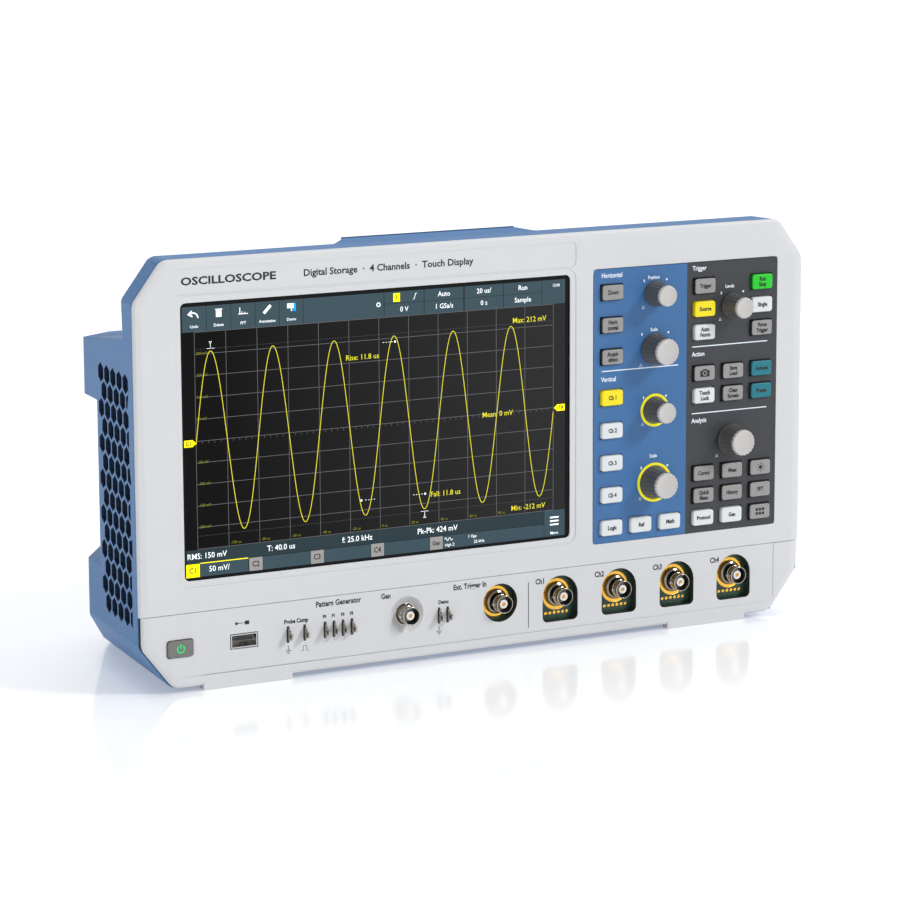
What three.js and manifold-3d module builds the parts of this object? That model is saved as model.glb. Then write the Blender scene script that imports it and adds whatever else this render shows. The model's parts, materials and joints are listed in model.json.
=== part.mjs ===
// Bench oscilloscope: a two-part white bezel on a blue plastic rear shell, with a touch display, a key
// and knob panel, a row of coaxial inputs, folding feet and the boards, supply and fan inside.
// Units are millimetres. X runs along the front, Y goes back into the case and Z is up.
import * as THREE from "three";
import { mergeVertices } from "three/addons/utils/BufferGeometryUtils.js";
import Module from "manifold-3d";

const wasm = await Module();
wasm.setup();

// ---- Driving dimensions ----
// Front face, measured from its lower left corner.
const openingWidth = 220.4; // display opening
const openingHeight = 138.85;
const openingRadius = 2.75;
const leftMargin = 25; // bezel edge to display opening
const browHeight = 21.75; // display opening to top edge
const sillHeight = 16; // seam to display opening
const panelWidth = 114; // key and knob panel
const panelGap = 14; // display opening to panel
const rightMargin = 16.6; // panel to bezel edge
const panelDrop = 5.15; // panel's lower edge below the opening's
const panelRise = 1.5; // panel's upper edge above the opening's
const connectorHeight = 37.9; // connector bezel, up to the seam
const footHeight = 2.5; // front edge above the bench
const topCutWidth = 15.5; // chamfers of the front's four corners
const topCutHeight = 20.5;
const bottomCutWidth = 17;
const bottomCutHeight = 22;
const cornerRadius = 8; // where a chamfer meets an edge
const seamGap = 0.3;
const bezelPlate = 3;
const connectorPlate = 4.2;
const edgeDepth = 1.8; // the bezel's visible edge
const edgeBevel = 5.5; // soft bevel round the front face
const connectorInset = 1.25; // the connector bezel's sides stand inside the upper bezel's
const spigotDepth = 6; // the rim behind the bezels that locates in the shell
const spigotWall = 2;
const surroundMargin = 3.4; // shallow frame pressed into the face round the display
const reliefDepth = 0.3; // depth of that frame, the label field and the connector field

// Rear shell.
const shellDepth = 136; // front edge of the shell to its rear face
const shellStart = 3; // front face to the shell's front edge
const wall = 2.5;
const sideTaper = THREE.MathUtils.degToRad(6); // each side leans in towards the rear
const rimDepth = 20; // the tall front part of the shell ends here
const shoulderHeight = 174.5; // roof height where it leaves the rim
const roofSlope = THREE.MathUtils.degToRad(6.7);
const bumperSideDepth = 87; // where the side walls of the bumpers turn inwards
const bumperRearInset = 45; // side to rear face corner, across
const bandSideDepth = 65; // the same two corners of the recessed band between the bumpers
const bandRearDepth = 108;
const bandBottom = 52;
const bandTop = 137.5;
const roofRadius = 7;
const planRadius = 2.5;
const gripWidth = 118; // finger ledge on top
const gripCentre = 0.4538; // its place along the front
const gripReach = 8.6;
const gripRise = 2;
const gripTaper = 9.4; // how much each end draws in over the reach
const gripThickness = 4;
const pocketHeight = 12; // finger pocket under the ledge
const pocketWidth = 95;
const pocketStart = 9.3; // front face to the pocket's floor
const ventPitch = 10.45; // hexagonal side vents
const ventWeb = 1.65;
const ventStart = 10.7;
const ventColumns = 5;
const ventRows = 14;
const ventTop = 152.9; // centre of the top row
const rearFootLength = 30;
const rearFootWidth = 12;
const rearFootInset = 40; // rear foot's outer end to the side of the case
const rearFootDepth = 100;

// Folding feet and the bezel blocks in front of them.
const footInset = 59; // case side to the foot's centre
const footBlockWidth = 49;
const footBlockDepth = 5.5;
const legWidth = 44;
const legLength = 42;
const legThickness = 3.2;
const legBarrelRadius = 2;
const legPinRadius = 1.5;
const legPinLength = 2;
const legHingeDepth = 12.4;

// Display.
const glassSetback = 1.3;
const glassThickness = 1.8;
const glassLap = 3; // glass behind the bezel's lip
const moduleThickness = 6;
const converterWidth = 90; // the display's driver board, on the module's back
const converterHeight = 40;
const converterRise = 20; // opening's lower edge to the driver board
const converterDepth = 5;

// Keys. Positions are along and up the panel, on a layout of this size.
const layoutWidth = 114;
const layoutHeight = 145.5;
const keyWidth = 13;
const keyHeight = 8.2;
const keyProud = 2;
const keyEdge = 0.7; // bevel of the cap
const keyFlange = 0.9; // flange beyond the cap, behind the panel
const keyFlangeThickness = 1.2;
const keyClearance = 0.35;
const panelPlate = 2;
const boardDepth = 5.3; // front face to the key board
const boardThickness = 1.6;
const keys = [
  { name: "zoom", at: [10.6, 133.25], colour: "greyKey" },
  { name: "horizontal", at: [10.6, 116.05], colour: "greyKey" },
  { name: "acquire", at: [10.6, 99.25], colour: "greyKey" },
  { name: "channel_1", at: [10.6, 77.55], colour: "yellowKey" },
  { name: "channel_2", at: [10.6, 60.05], colour: "whiteKey" },
  { name: "channel_3", at: [10.6, 42.75], colour: "whiteKey" },
  { name: "channel_4", at: [10.6, 25.55], colour: "whiteKey" },
  { name: "logic", at: [10.6, 8.05], colour: "whiteKey" },
  { name: "reference", at: [28.6, 8.05], colour: "whiteKey" },
  { name: "math", at: [46.6, 8.05], colour: "whiteKey" },
  { name: "trigger", at: [67.6, 132.95], colour: "greyKey" },
  { name: "run_stop", at: [103.6, 132.95], colour: "greenKey" },
  { name: "source", at: [67.6, 120.65], colour: "yellowKey" },
  { name: "single", at: [103.6, 120.65], colour: "whiteKey" },
  { name: "auto_norm", at: [67.6, 108.25], colour: "whiteKey" },
  { name: "force_trigger", at: [103.6, 108.25], colour: "greyKey" },
  { name: "camera", at: [67.6, 86.25], colour: "greyKey" },
  { name: "save_load", at: [85.6, 86.25], colour: "greyKey" },
  { name: "autoset", at: [103.6, 86.25], colour: "tealKey" },
  { name: "touch_lock", at: [67.6, 74.15], colour: "whiteKey" },
  { name: "clear_screen", at: [85.6, 74.15], colour: "greyKey" },
  { name: "preset", at: [103.6, 74.15], colour: "tealKey" },
  { name: "cursor", at: [67.6, 32.25], colour: "greyKey" },
  { name: "measure", at: [85.6, 32.25], colour: "greyKey" },
  { name: "intensity", at: [103.6, 32.25], colour: "greyKey" },
  { name: "quick_measure", at: [67.6, 20.15], colour: "greyKey" },
  { name: "history", at: [85.6, 20.15], colour: "greyKey" },
  { name: "spectrum", at: [103.6, 20.15], colour: "greyKey" },
  { name: "protocol", at: [67.6, 7.95], colour: "whiteKey" },
  { name: "generator", at: [85.6, 7.95], colour: "whiteKey" },
  { name: "apps", at: [103.6, 7.95], colour: "greyKey" },
];

// Knobs.
const knobReach = 13; // knob face in front of the panel
const knobGap = 0.6; // panel to the knob's skirt
const knobFaceBevel = 0.8;
const smallKnob = { base: 7, face: 5.7 };
const largeKnob = { base: 8.7, face: 7.3 };
const shaftRadius = 3;
const shaftClearance = 0.3;
const encoderSize = 12;
const encoderDepth = 2.6; // front face to the encoder body
const shaftEnd = 9;
const knobs = [
  { name: "horizontal_position_knob", at: [37.6, 130.75], size: smallKnob },
  { name: "horizontal_scale_knob", at: [37.6, 101.25], size: largeKnob },
  { name: "vertical_position_knob", at: [37.6, 68.65], size: smallKnob },
  { name: "vertical_scale_knob", at: [37.6, 29.85], size: largeKnob },
  { name: "trigger_level_knob", at: [85.6, 121.15], size: smallKnob },
  { name: "analysis_knob", at: [85.6, 48.75], size: largeKnob },
];

// Front connectors. Positions are along and up the connector bezel, on a layout of this size.
const connectorLayout = { width: 390, height: 37.9 };
const socketRow = 23.4; // height of the coaxial sockets
const barrelRadius = 4.8;
const barrelWall = 0.75;
const dielectricRadius = 2.35;
const socketReach = 5; // barrel face in front of the bezel
const boreDepth = 6;
const lugRadius = 0.9; // the two bayonet lugs
const lugReach = 1.1;
const lugSetback = 3.4; // barrel face to the lugs
const collarRadius = 6.2;
const socketTail = 11;
const cutoutRadius = 10.7;
const cutoutBottom = 9.6;
const cutoutCornerRadius = 3;
const triggerCutoutRadius = 10.2;
const coneRadius = 10;
const coneDepth = 2.6;
const inputBoardDepth = 4.6;
const inputBoardEnds = [190, 366]; // along the connector bezel
const channelPitch = 36.05;
const firstChannel = 239.65;
const externalTrigger = 203.5;
const generatorOutput = 148.75;
const usbCentre = [56.75, 20.45];
const usbShell = { width: 14.5, height: 7, depth: 14, wall: 0.6, tongueWidth: 11.1, tongueHeight: 1.9 };
const usbOpening = { width: 15.3, height: 7.9 };
const lugPlaces = [81.1, 90.4, 101.9, 106.95, 112.05, 117.1, 167.4, 172.45];
const lugThickness = 0.8;
const lugHeight = 8;
const lugProud = 5;
const lugRow = 20.7;
const lugLoop = 2.1;
const powerKey = { at: [21.6, 20.5], width: 14, height: 8.5, proud: 1.1, radius: 1.6 };

// Inside.
const mainBoardDepth = 88;
const mainBoardInset = 52; // board's ends to the case sides
const lanSocket = { along: 0.66, width: 16, height: 13.5, cavity: [11.8, 8.4, 12] };
const usbDevice = { along: 0.59, width: 12, height: 11, cavity: [8.5, 7.8, 9], tongue: [5.6, 3.2] };
const rearSocketHeight = 88;
const supplySize = [78, 42, 60];
const supplyStart = [48, 46, 66]; // its lowest corner, from the left side, the front and the bottom edge
const inletSize = [28, 21];
const inletCavity = [24, 16.6, 16];
const inletCentre = [72, 112];
const blade = { width: 2, height: 4, length: 13 };
const fanSize = 60;
const fanThickness = 20;
const fanInset = 32; // the fan's outer face to the right side of the case
const fanCentre = [48, 96];
const fanBore = 28;
const hubRadius = 10;
const bladeCount = 7;
const rotorRadius = 26.5;
const fanShaftRadius = 1.5;

const clearance = 0.3; // between pieces that fit together
const roundSteps = 20; // sides of a small round piece
const cornerSteps = 4; // segments of a rounded corner

// ---- Worked out from the driving dimensions ----
const frontWidth = leftMargin + openingWidth + panelGap + panelWidth + rightMargin;
const openingBottom = connectorHeight + sillHeight;
const openingTop = openingBottom + openingHeight;
const frontHeight = openingTop + browHeight;
const panelLeft = leftMargin + openingWidth + panelGap;
const panelBottom = openingBottom - panelDrop;
const panelHeight = openingHeight + panelDrop + panelRise;
const rearDepth = shellStart + shellDepth;
const boreRadius = barrelRadius - barrelWall;
const openingMiddle = leftMargin + openingWidth / 2;
const legHingeHeight = legBarrelRadius + 0.2; // above the case floor's outer face

const onPanel = ([along, up]) => [
  panelLeft + (along * panelWidth) / layoutWidth,
  panelBottom + (up * panelHeight) / layoutHeight,
];
const onConnectors = ([along, up]) => [
  (along * frontWidth) / connectorLayout.width,
  (up * connectorHeight) / connectorLayout.height,
];

const finishes = {
  bezel: { color: 0xe2e3e4, roughness: 0.5, metalness: 0 },
  shell: { color: 0x4e7eb2, roughness: 0.5, metalness: 0 },
  panel: { color: 0x4878af, roughness: 0.5, metalness: 0 },
  glass: { color: 0x101214, roughness: 0.1, metalness: 0 },
  display: { color: 0x202428, roughness: 0.4, metalness: 0 },
  greyKey: { color: 0x8c8a88, roughness: 0.6, metalness: 0 },
  whiteKey: { color: 0xdcdfe0, roughness: 0.5, metalness: 0 },
  yellowKey: { color: 0xf5e600, roughness: 0.5, metalness: 0 },
  greenKey: { color: 0x10d020, roughness: 0.5, metalness: 0 },
  tealKey: { color: 0x0096a5, roughness: 0.5, metalness: 0 },
  rubberKey: { color: 0x7c7a78, roughness: 0.8, metalness: 0 },
  knob: { color: 0x5a5b5e, roughness: 0.5, metalness: 0.1 },
  nickel: { color: 0xb8b6b0, roughness: 0.25, metalness: 1 },
  board: { color: 0x1f3d2a, roughness: 0.6, metalness: 0 },
  foot: { color: 0x3c5f88, roughness: 0.6, metalness: 0 },
  black: { color: 0x1c1c1e, roughness: 0.6, metalness: 0 },
  steel: { color: 0xa8aaad, roughness: 0.4, metalness: 1 },
};

// ---- Outlines ----
const point = (x, y) => new THREE.Vector2(x, y);

// Moves every edge of a counter-clockwise outline inwards by a distance, keeping its corners sharp.
function insetCorners(corners, distance) {
  const edge = (a, b) => {
    const along = b.clone().sub(a).normalize();
    return { start: a.clone().add(point(-along.y, along.x).multiplyScalar(distance)), along };
  };
  return corners.map((corner, i) => {
    const first = edge(corners.at(i - 1), corner);
    const second = edge(corner, corners[(i + 1) % corners.length]);
    const cross = first.along.cross(second.along);
    const step = second.start.clone().sub(first.start).cross(second.along) / cross;
    return first.start.clone().add(first.along.clone().multiplyScalar(step));
  });
}

// Replaces each corner by an arc that touches both its edges; radius is one value or one per corner.
function roundCorners(corners, radius, steps = cornerSteps) {
  return corners.flatMap((corner, i) => {
    const r = Array.isArray(radius) ? radius[i] : radius;
    if (r <= 0) return [corner.clone()];
    const back = corners.at(i - 1).clone().sub(corner).normalize();
    const ahead = corners[(i + 1) % corners.length].clone().sub(corner).normalize();
    const half = Math.acos(THREE.MathUtils.clamp(back.dot(ahead), -1, 1)) / 2;
    const centre = corner.clone().add(
      back.clone().add(ahead).normalize().multiplyScalar(r / Math.sin(half)));
    const start = corner.clone().add(back.multiplyScalar(r / Math.tan(half))).sub(centre);
    const end = corner.clone().add(ahead.multiplyScalar(r / Math.tan(half))).sub(centre);
    const sweep = Math.atan2(start.cross(end), start.dot(end));
    return Array.from({ length: steps + 1 }, (_, k) =>
      start.clone().rotateAround(point(0, 0), (sweep * k) / steps).add(centre));
  });
}

const rectangle = (x0, x1, y0, y1) => [point(x0, y0), point(x1, y0), point(x1, y1), point(x0, y1)];

const centred = ([x, y], width, height) =>
  rectangle(x - width / 2, x + width / 2, y - height / 2, y + height / 2);

function circle([x, y], radius, steps = roundSteps) {
  return Array.from({ length: steps }, (_, k) => {
    const turn = (2 * Math.PI * (k + 0.5)) / steps;
    return point(x + radius * Math.cos(turn), y + radius * Math.sin(turn));
  });
}

// The front's outline: a rectangle with four chamfered corners, leaning in by the side taper at a depth.
function frontOutline(depth, inset, extraSide = 0) {
  const side = depth * Math.tan(sideTaper) + extraSide;
  const corners = [
    point(side + bottomCutWidth, 0),
    point(frontWidth - side - bottomCutWidth, 0),
    point(frontWidth - side, bottomCutHeight),
    point(frontWidth - side, frontHeight - topCutHeight),
    point(frontWidth - side - topCutWidth, frontHeight),
    point(side + topCutWidth, frontHeight),
    point(side, frontHeight - topCutHeight),
    point(side, bottomCutHeight),
  ];
  return roundCorners(insetCorners(corners, inset), Math.max(cornerRadius - inset, 0.5));
}

// ---- Solids ----
function solid(geometry) {
  const bare = geometry.index ? geometry.toNonIndexed() : geometry;
  bare.deleteAttribute("normal");
  bare.deleteAttribute("uv");
  const merged = mergeVertices(bare, 1e-4);
  return new wasm.Manifold(
    new wasm.Mesh({
      numProp: 3,
      vertProperties: new Float32Array(merged.attributes.position.array),
      triVerts: new Uint32Array(merged.index.array),
    }),
  );
}

// Carries an outline along an axis. Outlines are (X, Z) for "y", (Y, Z) for "x" and (X, Y) for "z".
function prism(outline, axis, from, to) {
  const depth = to - from;
  const geometry = new THREE.ExtrudeGeometry(new THREE.Shape(outline), { depth, bevelEnabled: false });
  const [x, y, z] = [0, 1, 2].map((i) => new THREE.Vector3().setComponent(i, 1));
  if (axis === "x") geometry.applyMatrix4(new THREE.Matrix4().makeBasis(y, z, x)).translate(from, 0, 0);
  if (axis === "y") {
    geometry.applyMatrix4(new THREE.Matrix4().makeBasis(x, z, y.clone().negate())).translate(0, to, 0);
  }
  if (axis === "z") geometry.translate(0, 0, from);
  return solid(geometry);
}

const block = (x0, x1, y0, y1, z0, z1) => prism(rectangle(x0, x1, y0, y1), "z", z0, z1);

// Skins a row of outlines with equal point counts, each at its own depth, and closes both ends.
function loft(rings) {
  const count = rings[0].outline.length;
  const vertices = rings.flatMap(({ depth, outline }) => outline.map((p) => [p.x, depth, p.y])).flat();
  const faces = [];
  for (let ring = 0; ring + 1 < rings.length; ring++) {
    for (let k = 0; k < count; k++) {
      const [a, b] = [ring * count + k, ring * count + ((k + 1) % count)];
      faces.push(a, b + count, b, a, a + count, b + count);
    }
  }
  const last = (rings.length - 1) * count;
  for (const [a, b, c] of THREE.ShapeUtils.triangulateShape(rings[0].outline, [])) faces.push(a, b, c);
  for (const [a, b, c] of THREE.ShapeUtils.triangulateShape(rings.at(-1).outline, [])) {
    faces.push(last + a, last + c, last + b);
  }
  const geometry = new THREE.BufferGeometry();
  geometry.setAttribute("position", new THREE.Float32BufferAttribute(vertices, 3));
  geometry.setIndex(faces);
  return solid(geometry);
}

// Turns a profile of [radius, depth] pairs about an axis along Y through a place on the front.
function turned(profile, [x, z], steps = roundSteps) {
  const points = profile.map(([radius, depth]) => point(radius, -depth));
  const geometry = new THREE.LatheGeometry(points.reverse(), steps);
  return solid(geometry.rotateX(Math.PI).translate(x, 0, z));
}

const rodY = (place, radius, from, to, steps) =>
  turned([[0, from], [radius, from], [radius, to], [0, to]], place, steps);
const joined = (pieces) => pieces.reduce((whole, piece) => whole.add(piece));

// ---- Assembly ----
const oscilloscope = new THREE.Group();
const frontFrame = new THREE.Group(); // its origin is the lower left corner of the front face
frontFrame.position.set(-frontWidth / 2, -(rearDepth - knobReach) / 2, footHeight);
oscilloscope.add(frontFrame);

function addPiece(name, body, finish) {
  const mesh = body.getMesh();
  const positions = new Float32Array(mesh.numVert * 3);
  for (let i = 0; i < mesh.numVert; i++) {
    positions.set(mesh.vertProperties.subarray(i * mesh.numProp, i * mesh.numProp + 3), i * 3);
  }
  const geometry = new THREE.BufferGeometry();
  geometry.setAttribute("position", new THREE.BufferAttribute(positions, 3));
  geometry.setIndex(new THREE.BufferAttribute(mesh.triVerts, 1));
  geometry.computeVertexNormals();
  const piece = new THREE.Mesh(geometry, new THREE.MeshStandardMaterial(finishes[finish]));
  piece.name = name;
  frontFrame.add(piece);
}

// ---- Bezels ----
// A dished face with a bevelled edge, a plate behind it and a rim that locates inside the shell.
function bezelBlank(plate, extraSide) {
  const ring = (depth, inset) => ({ depth, outline: frontOutline(0, inset, extraSide) });
  const rimRing = (depth, inset) => ({ depth, outline: frontOutline(depth, inset) });
  const rimInset = wall + clearance;
  const face = loft([
    ring(0, edgeBevel),
    ring(edgeDepth * 0.08, edgeBevel * 0.7),
    ring(edgeDepth * 0.35, edgeBevel * 0.25),
    ring(edgeDepth * 0.75, 0.3),
    ring(edgeDepth * 0.9, 0),
    ring(edgeDepth, 0),
  ]);
  const backing = loft([rimRing(edgeDepth - 0.5, rimInset), rimRing(spigotDepth, rimInset)]);
  const innerInset = rimInset + spigotWall;
  const hollow = loft([rimRing(plate, innerInset), rimRing(spigotDepth + 1, innerInset)]);
  return face.add(backing).subtract(hollow);
}

function frontBezel() {
  const opening = rectangle(leftMargin, leftMargin + openingWidth, openingBottom, openingTop);
  const frame = insetCorners(opening, -surroundMargin);
  const rebate = insetCorners(opening, -glassLap - clearance);
  const panel = rectangle(panelLeft, panelLeft + panelWidth, panelBottom, panelBottom + panelHeight);
  const label = rectangle(
    leftMargin - surroundMargin, leftMargin + openingWidth + surroundMargin,
    frontHeight - browHeight * 0.82, frontHeight - browHeight * 0.22);
  return bezelBlank(bezelPlate, 0)
    .subtract(block(-1, frontWidth + 1, -1, spigotDepth + 1, -1, connectorHeight + seamGap / 2))
    .subtract(prism(roundCorners(opening, openingRadius), "y", -1, bezelPlate + 1))
    .subtract(prism(rebate, "y", glassSetback - clearance, bezelPlate + 1))
    .subtract(prism(roundCorners(frame, openingRadius * 2), "y", -1, reliefDepth))
    .subtract(prism(roundCorners(label, openingRadius), "y", -1, reliefDepth))
    .subtract(prism(roundCorners(insetCorners(panel, -clearance), 2), "y", -1, bezelPlate + 1));
}

const channelPlaces = [0, 1, 2, 3].map((n) => onConnectors([firstChannel + n * channelPitch, socketRow]));
const triggerPlace = onConnectors([externalTrigger, socketRow]);
const generatorPlace = onConnectors([generatorOutput, socketRow]);
const usbPlace = onConnectors(usbCentre);
const powerPlace = onConnectors(powerKey.at);
const lugCentres = lugPlaces.map((along) => onConnectors([along, lugRow]));
const footCentres = [footInset, frontWidth - footInset];

// A channel's cutout is round at the top and square at the bottom.
function channelCutout([x, z]) {
  const bottom = onConnectors([0, cutoutBottom])[1];
  const corners = rectangle(x - cutoutRadius, x + cutoutRadius, bottom, z + cutoutRadius);
  const radii = [cutoutCornerRadius, cutoutCornerRadius, cutoutRadius - 0.01, cutoutRadius - 0.01];
  return roundCorners(corners, radii, 6);
}

function connectorBezel() {
  const fieldLeft = powerPlace[0] + powerKey.width / 2 + 6.4;
  const field = rectangle(fieldLeft, frontWidth - rightMargin, 5.6, connectorHeight + 1);
  const cone = [
    [0, -1], [coneRadius * 1.04, -1], [coneRadius, 0], [collarRadius, coneDepth], [0, coneDepth],
  ];
  const powerHole = centred(
    powerPlace, powerKey.width + 2 * keyClearance, powerKey.height + 2 * keyClearance);
  const blocks = footCentres.map((x) =>
    block(x - footBlockWidth / 2, x + footBlockWidth / 2, 0.6, edgeDepth, -footHeight, 3).add(
      block(x - footBlockWidth / 2, x + footBlockWidth / 2, 0.6, footBlockDepth, -footHeight, -clearance)));
  const cuts = [
    block(-1, frontWidth + 1, -1, spigotDepth + 1, connectorHeight - seamGap / 2, frontHeight + 1),
    prism(field, "y", -1, reliefDepth),
    turned(cone, generatorPlace, 32),
    rodY(generatorPlace, barrelRadius + 0.8, 0, connectorPlate + 1, 24),
    rodY(triggerPlace, triggerCutoutRadius, -1, connectorPlate + 1, 32),
    prism(centred(usbPlace, usbOpening.width, usbOpening.height), "y", -1, spigotDepth + 1),
    prism(roundCorners(powerHole, powerKey.radius), "y", -1, spigotDepth + 1),
    ...channelPlaces.map((place) => prism(channelCutout(place), "y", -1, connectorPlate + 1)),
    ...lugCentres.map((place) =>
      prism(centred(place, lugThickness + 2 * clearance, lugHeight + 2 * clearance), "y", -1, spigotDepth)),
  ];
  const blank = joined([bezelBlank(connectorPlate, connectorInset), ...blocks]);
  return cuts.reduce((body, cut) => body.subtract(cut), blank);
}

addPiece("front_bezel", frontBezel(), "bezel");
addPiece("connector_bezel", connectorBezel(), "bezel");

// ---- Rear shell ----
const openEnd = -20; // the hollow forms run out past the shell's open front
const roofAt = (depth) => shoulderHeight - (depth - rimDepth) * Math.tan(roofSlope);
const leanAt = (depth) => depth * Math.tan(sideTaper);

// Half-open plan of the case: side corners at one depth, rear corners further in at another.
function planOutline(sideDepth, backDepth, inset) {
  const corners = [
    point(leanAt(openEnd), openEnd),
    point(frontWidth - leanAt(openEnd), openEnd),
    point(frontWidth - leanAt(sideDepth), sideDepth),
    point(frontWidth - bumperRearInset, backDepth),
    point(bumperRearInset, backDepth),
    point(leanAt(sideDepth), sideDepth),
  ];
  const radii = [0, 0, planRadius, planRadius, planRadius, planRadius];
  return roundCorners(insetCorners(corners, inset), radii, 2);
}

function rimForm(inset, start) {
  const ring = (depth) => ({ depth, outline: frontOutline(depth, inset) });
  return loft([ring(start), ring(rimDepth - inset)]);
}

// The lower case behind the rim: tapered, chamfered sections, cut to the plan and to the sloping roof.
function caseForm(inset, start) {
  const ring = (depth) => ({ depth, outline: frontOutline(depth, inset) });
  const profile = insetCorners(
    [
      point(openEnd, 0),
      point(rearDepth, 0),
      point(rearDepth, roofAt(rearDepth)),
      point(openEnd, roofAt(openEnd)),
    ],
    inset);
  const bandZone = block(
    -10, frontWidth + 10, bandSideDepth / 2, rearDepth + 10, bandBottom - inset, bandTop + inset);
  const band = prism(planOutline(bandSideDepth, bandRearDepth, inset), "z", -10, frontHeight + 10);
  return loft([ring(start), ring(rearDepth + 10)])
    .intersect(prism(planOutline(bumperSideDepth, rearDepth, inset), "z", -10, frontHeight + 10))
    .intersect(prism(roundCorners(profile, [0, planRadius, roofRadius, 0]), "x", -10, frontWidth + 10))
    .subtract(bandZone.subtract(band));
}

const gripPlace = frontWidth * gripCentre;
const pocketTop = frontHeight - gripThickness;

function gripLedge() {
  const ring = (depth, halfWidth, top, bottom) => ({
    depth,
    outline: rectangle(gripPlace - halfWidth, gripPlace + halfWidth, bottom, top),
  });
  const half = gripWidth / 2;
  const end = rimDepth + gripReach;
  return loft([
    ring(rimDepth - 1, half, frontHeight - 0.02, pocketTop),
    ring(end - 1, half - gripTaper * 0.9, frontHeight + gripRise, pocketTop),
    ring(end, half - gripTaper, frontHeight + gripRise - 1.2, pocketTop + 0.8),
  ]);
}

function pocket(margin) {
  return block(
    gripPlace - pocketWidth / 2 - margin, gripPlace + pocketWidth / 2 + margin,
    pocketStart - margin, rimDepth + gripReach + 5,
    pocketTop - pocketHeight - margin, pocketTop + margin);
}

// A recess in the case floor for one folding foot.
function footWell(x, margin) {
  const reach = margin + clearance;
  return block(
    x - legWidth / 2 - reach, x + legWidth / 2 + reach,
    legHingeDepth - legBarrelRadius - reach, legHingeDepth + legLength + reach,
    -1, legHingeHeight + legBarrelRadius + reach);
}
const rodX = (depth, height, radius, from, to) =>
  prism(circle([depth, height], radius, 10), "x", from, to);

// Side vents: rows of hexagons, every second row shifted by half a pitch, cut square at the front.
function ventField() {
  const radius = (ventPitch - ventWeb) / Math.sqrt(3);
  const rowPitch = (ventPitch * Math.sqrt(3)) / 2;
  const field = [];
  for (let row = 0; row < ventRows; row++) {
    const shifted = row % 2;
    const height = ventTop - row * rowPitch;
    for (let column = 0; column < ventColumns; column++) {
      const depth = ventStart + (ventPitch - ventWeb) / 2 + (column - shifted / 2) * ventPitch;
      const hexagon = Array.from({ length: 6 }, (_, k) => {
        const turn = (Math.PI * (2 * k + 1)) / 6;
        return point(depth + radius * Math.cos(turn), height + radius * Math.sin(turn));
      });
      const outline = shifted && column === 0 ? frontClipped(depth, height, radius) : hexagon;
      field.push(prism(outline, "x", -10, frontWidth + 10));
    }
  }
  return field;
}

// The part of a hexagon behind the vent field's front edge.
function frontClipped(depth, height, radius) {
  const right = depth + (radius * Math.sqrt(3)) / 2;
  const rise = radius - (ventStart - depth) / Math.sqrt(3);
  return [
    point(ventStart, height - rise),
    point(right, height - radius / 2),
    point(right, height + radius / 2),
    point(ventStart, height + rise),
  ];
}

const lanPlace = [frontWidth * lanSocket.along, rearSocketHeight];
const usbDevicePlace = [frontWidth * usbDevice.along, rearSocketHeight];

function rearShell() {
  const outer = rimForm(0, shellStart)
    .add(caseForm(0, shellStart))
    .add(gripLedge())
    .add(joined(rearFeet()));
  const hollow = rimForm(wall, openEnd)
    .add(caseForm(wall, openEnd))
    .subtract(pocket(wall))
    .subtract(joined(footCentres.map((x) => footWell(x, wall))));
  const wells = footCentres.flatMap((x) => [
    footWell(x, 0),
    rodX(legHingeDepth, legHingeHeight, legPinRadius + clearance,
      x - legWidth / 2 - legPinLength - clearance, x + legWidth / 2 + legPinLength + clearance),
  ]);
  const sockets = [
    prism(centred(lanPlace, lanSocket.width + 2 * clearance, lanSocket.height + 2 * clearance), "y",
      bandRearDepth - wall - 2, rearDepth + 1),
    prism(
      centred(usbDevicePlace, usbDevice.width + 2 * clearance, usbDevice.height + 2 * clearance), "y",
      bandRearDepth - wall - 2, rearDepth + 1),
    prism(centred(inletCentre, inletSize[0] + 2 * clearance, inletSize[1] + 2 * clearance), "y",
      bandRearDepth - wall - 2, rearDepth + 1),
  ];
  return [hollow, pocket(0), ...wells, ...sockets, ...ventField()].reduce(
    (body, cut) => body.subtract(cut), outer);
}

function rearFeet() {
  return [rearFootInset, frontWidth - rearFootInset - rearFootLength].map((x) =>
    block(x, x + rearFootLength, rearFootDepth, rearFootDepth + rearFootWidth, -footHeight, 1));
}

addPiece("rear_shell", rearShell(), "shell");

// ---- Folding feet ----
function foldingFoot(x) {
  const [left, right] = [x - legWidth / 2, x + legWidth / 2];
  const top = legHingeHeight + legBarrelRadius - 0.2;
  const sole = top - legThickness;
  const outline = roundCorners(
    [point(legHingeDepth, sole), point(legHingeDepth + legLength, sole),
      point(legHingeDepth + legLength, top), point(legHingeDepth, top)],
    [0, 1.2, 1.2, 0], 3);
  return joined([
    prism(outline, "x", left, right),
    rodX(legHingeDepth, legHingeHeight, legBarrelRadius, left, right),
    rodX(legHingeDepth, legHingeHeight, legPinRadius, left - legPinLength, right + legPinLength),
  ]).subtract(
    block(left + legWidth * 0.24, right - legWidth * 0.24,
      legHingeDepth + legLength * 0.3, legHingeDepth + legLength * 0.72, -10, 10));
}

addPiece("tilt_foot_left", foldingFoot(footCentres[0]), "foot");
addPiece("tilt_foot_right", foldingFoot(footCentres[1]), "foot");

// ---- Display ----
const displayOutline = (margin) =>
  insetCorners(rectangle(leftMargin, leftMargin + openingWidth, openingBottom, openingTop), -margin);
const glassBack = glassSetback + glassThickness;

addPiece("touch_glass", prism(displayOutline(glassLap), "y", glassSetback, glassBack), "glass");
addPiece("display_module",
  prism(displayOutline(0.8), "y", glassBack + clearance, glassBack + clearance + moduleThickness)
    .add(block(openingMiddle - converterWidth / 2, openingMiddle + converterWidth / 2,
      glassBack + moduleThickness, glassBack + moduleThickness + converterDepth,
      openingBottom + converterRise, openingBottom + converterRise + converterHeight)),
  "display");

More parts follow.
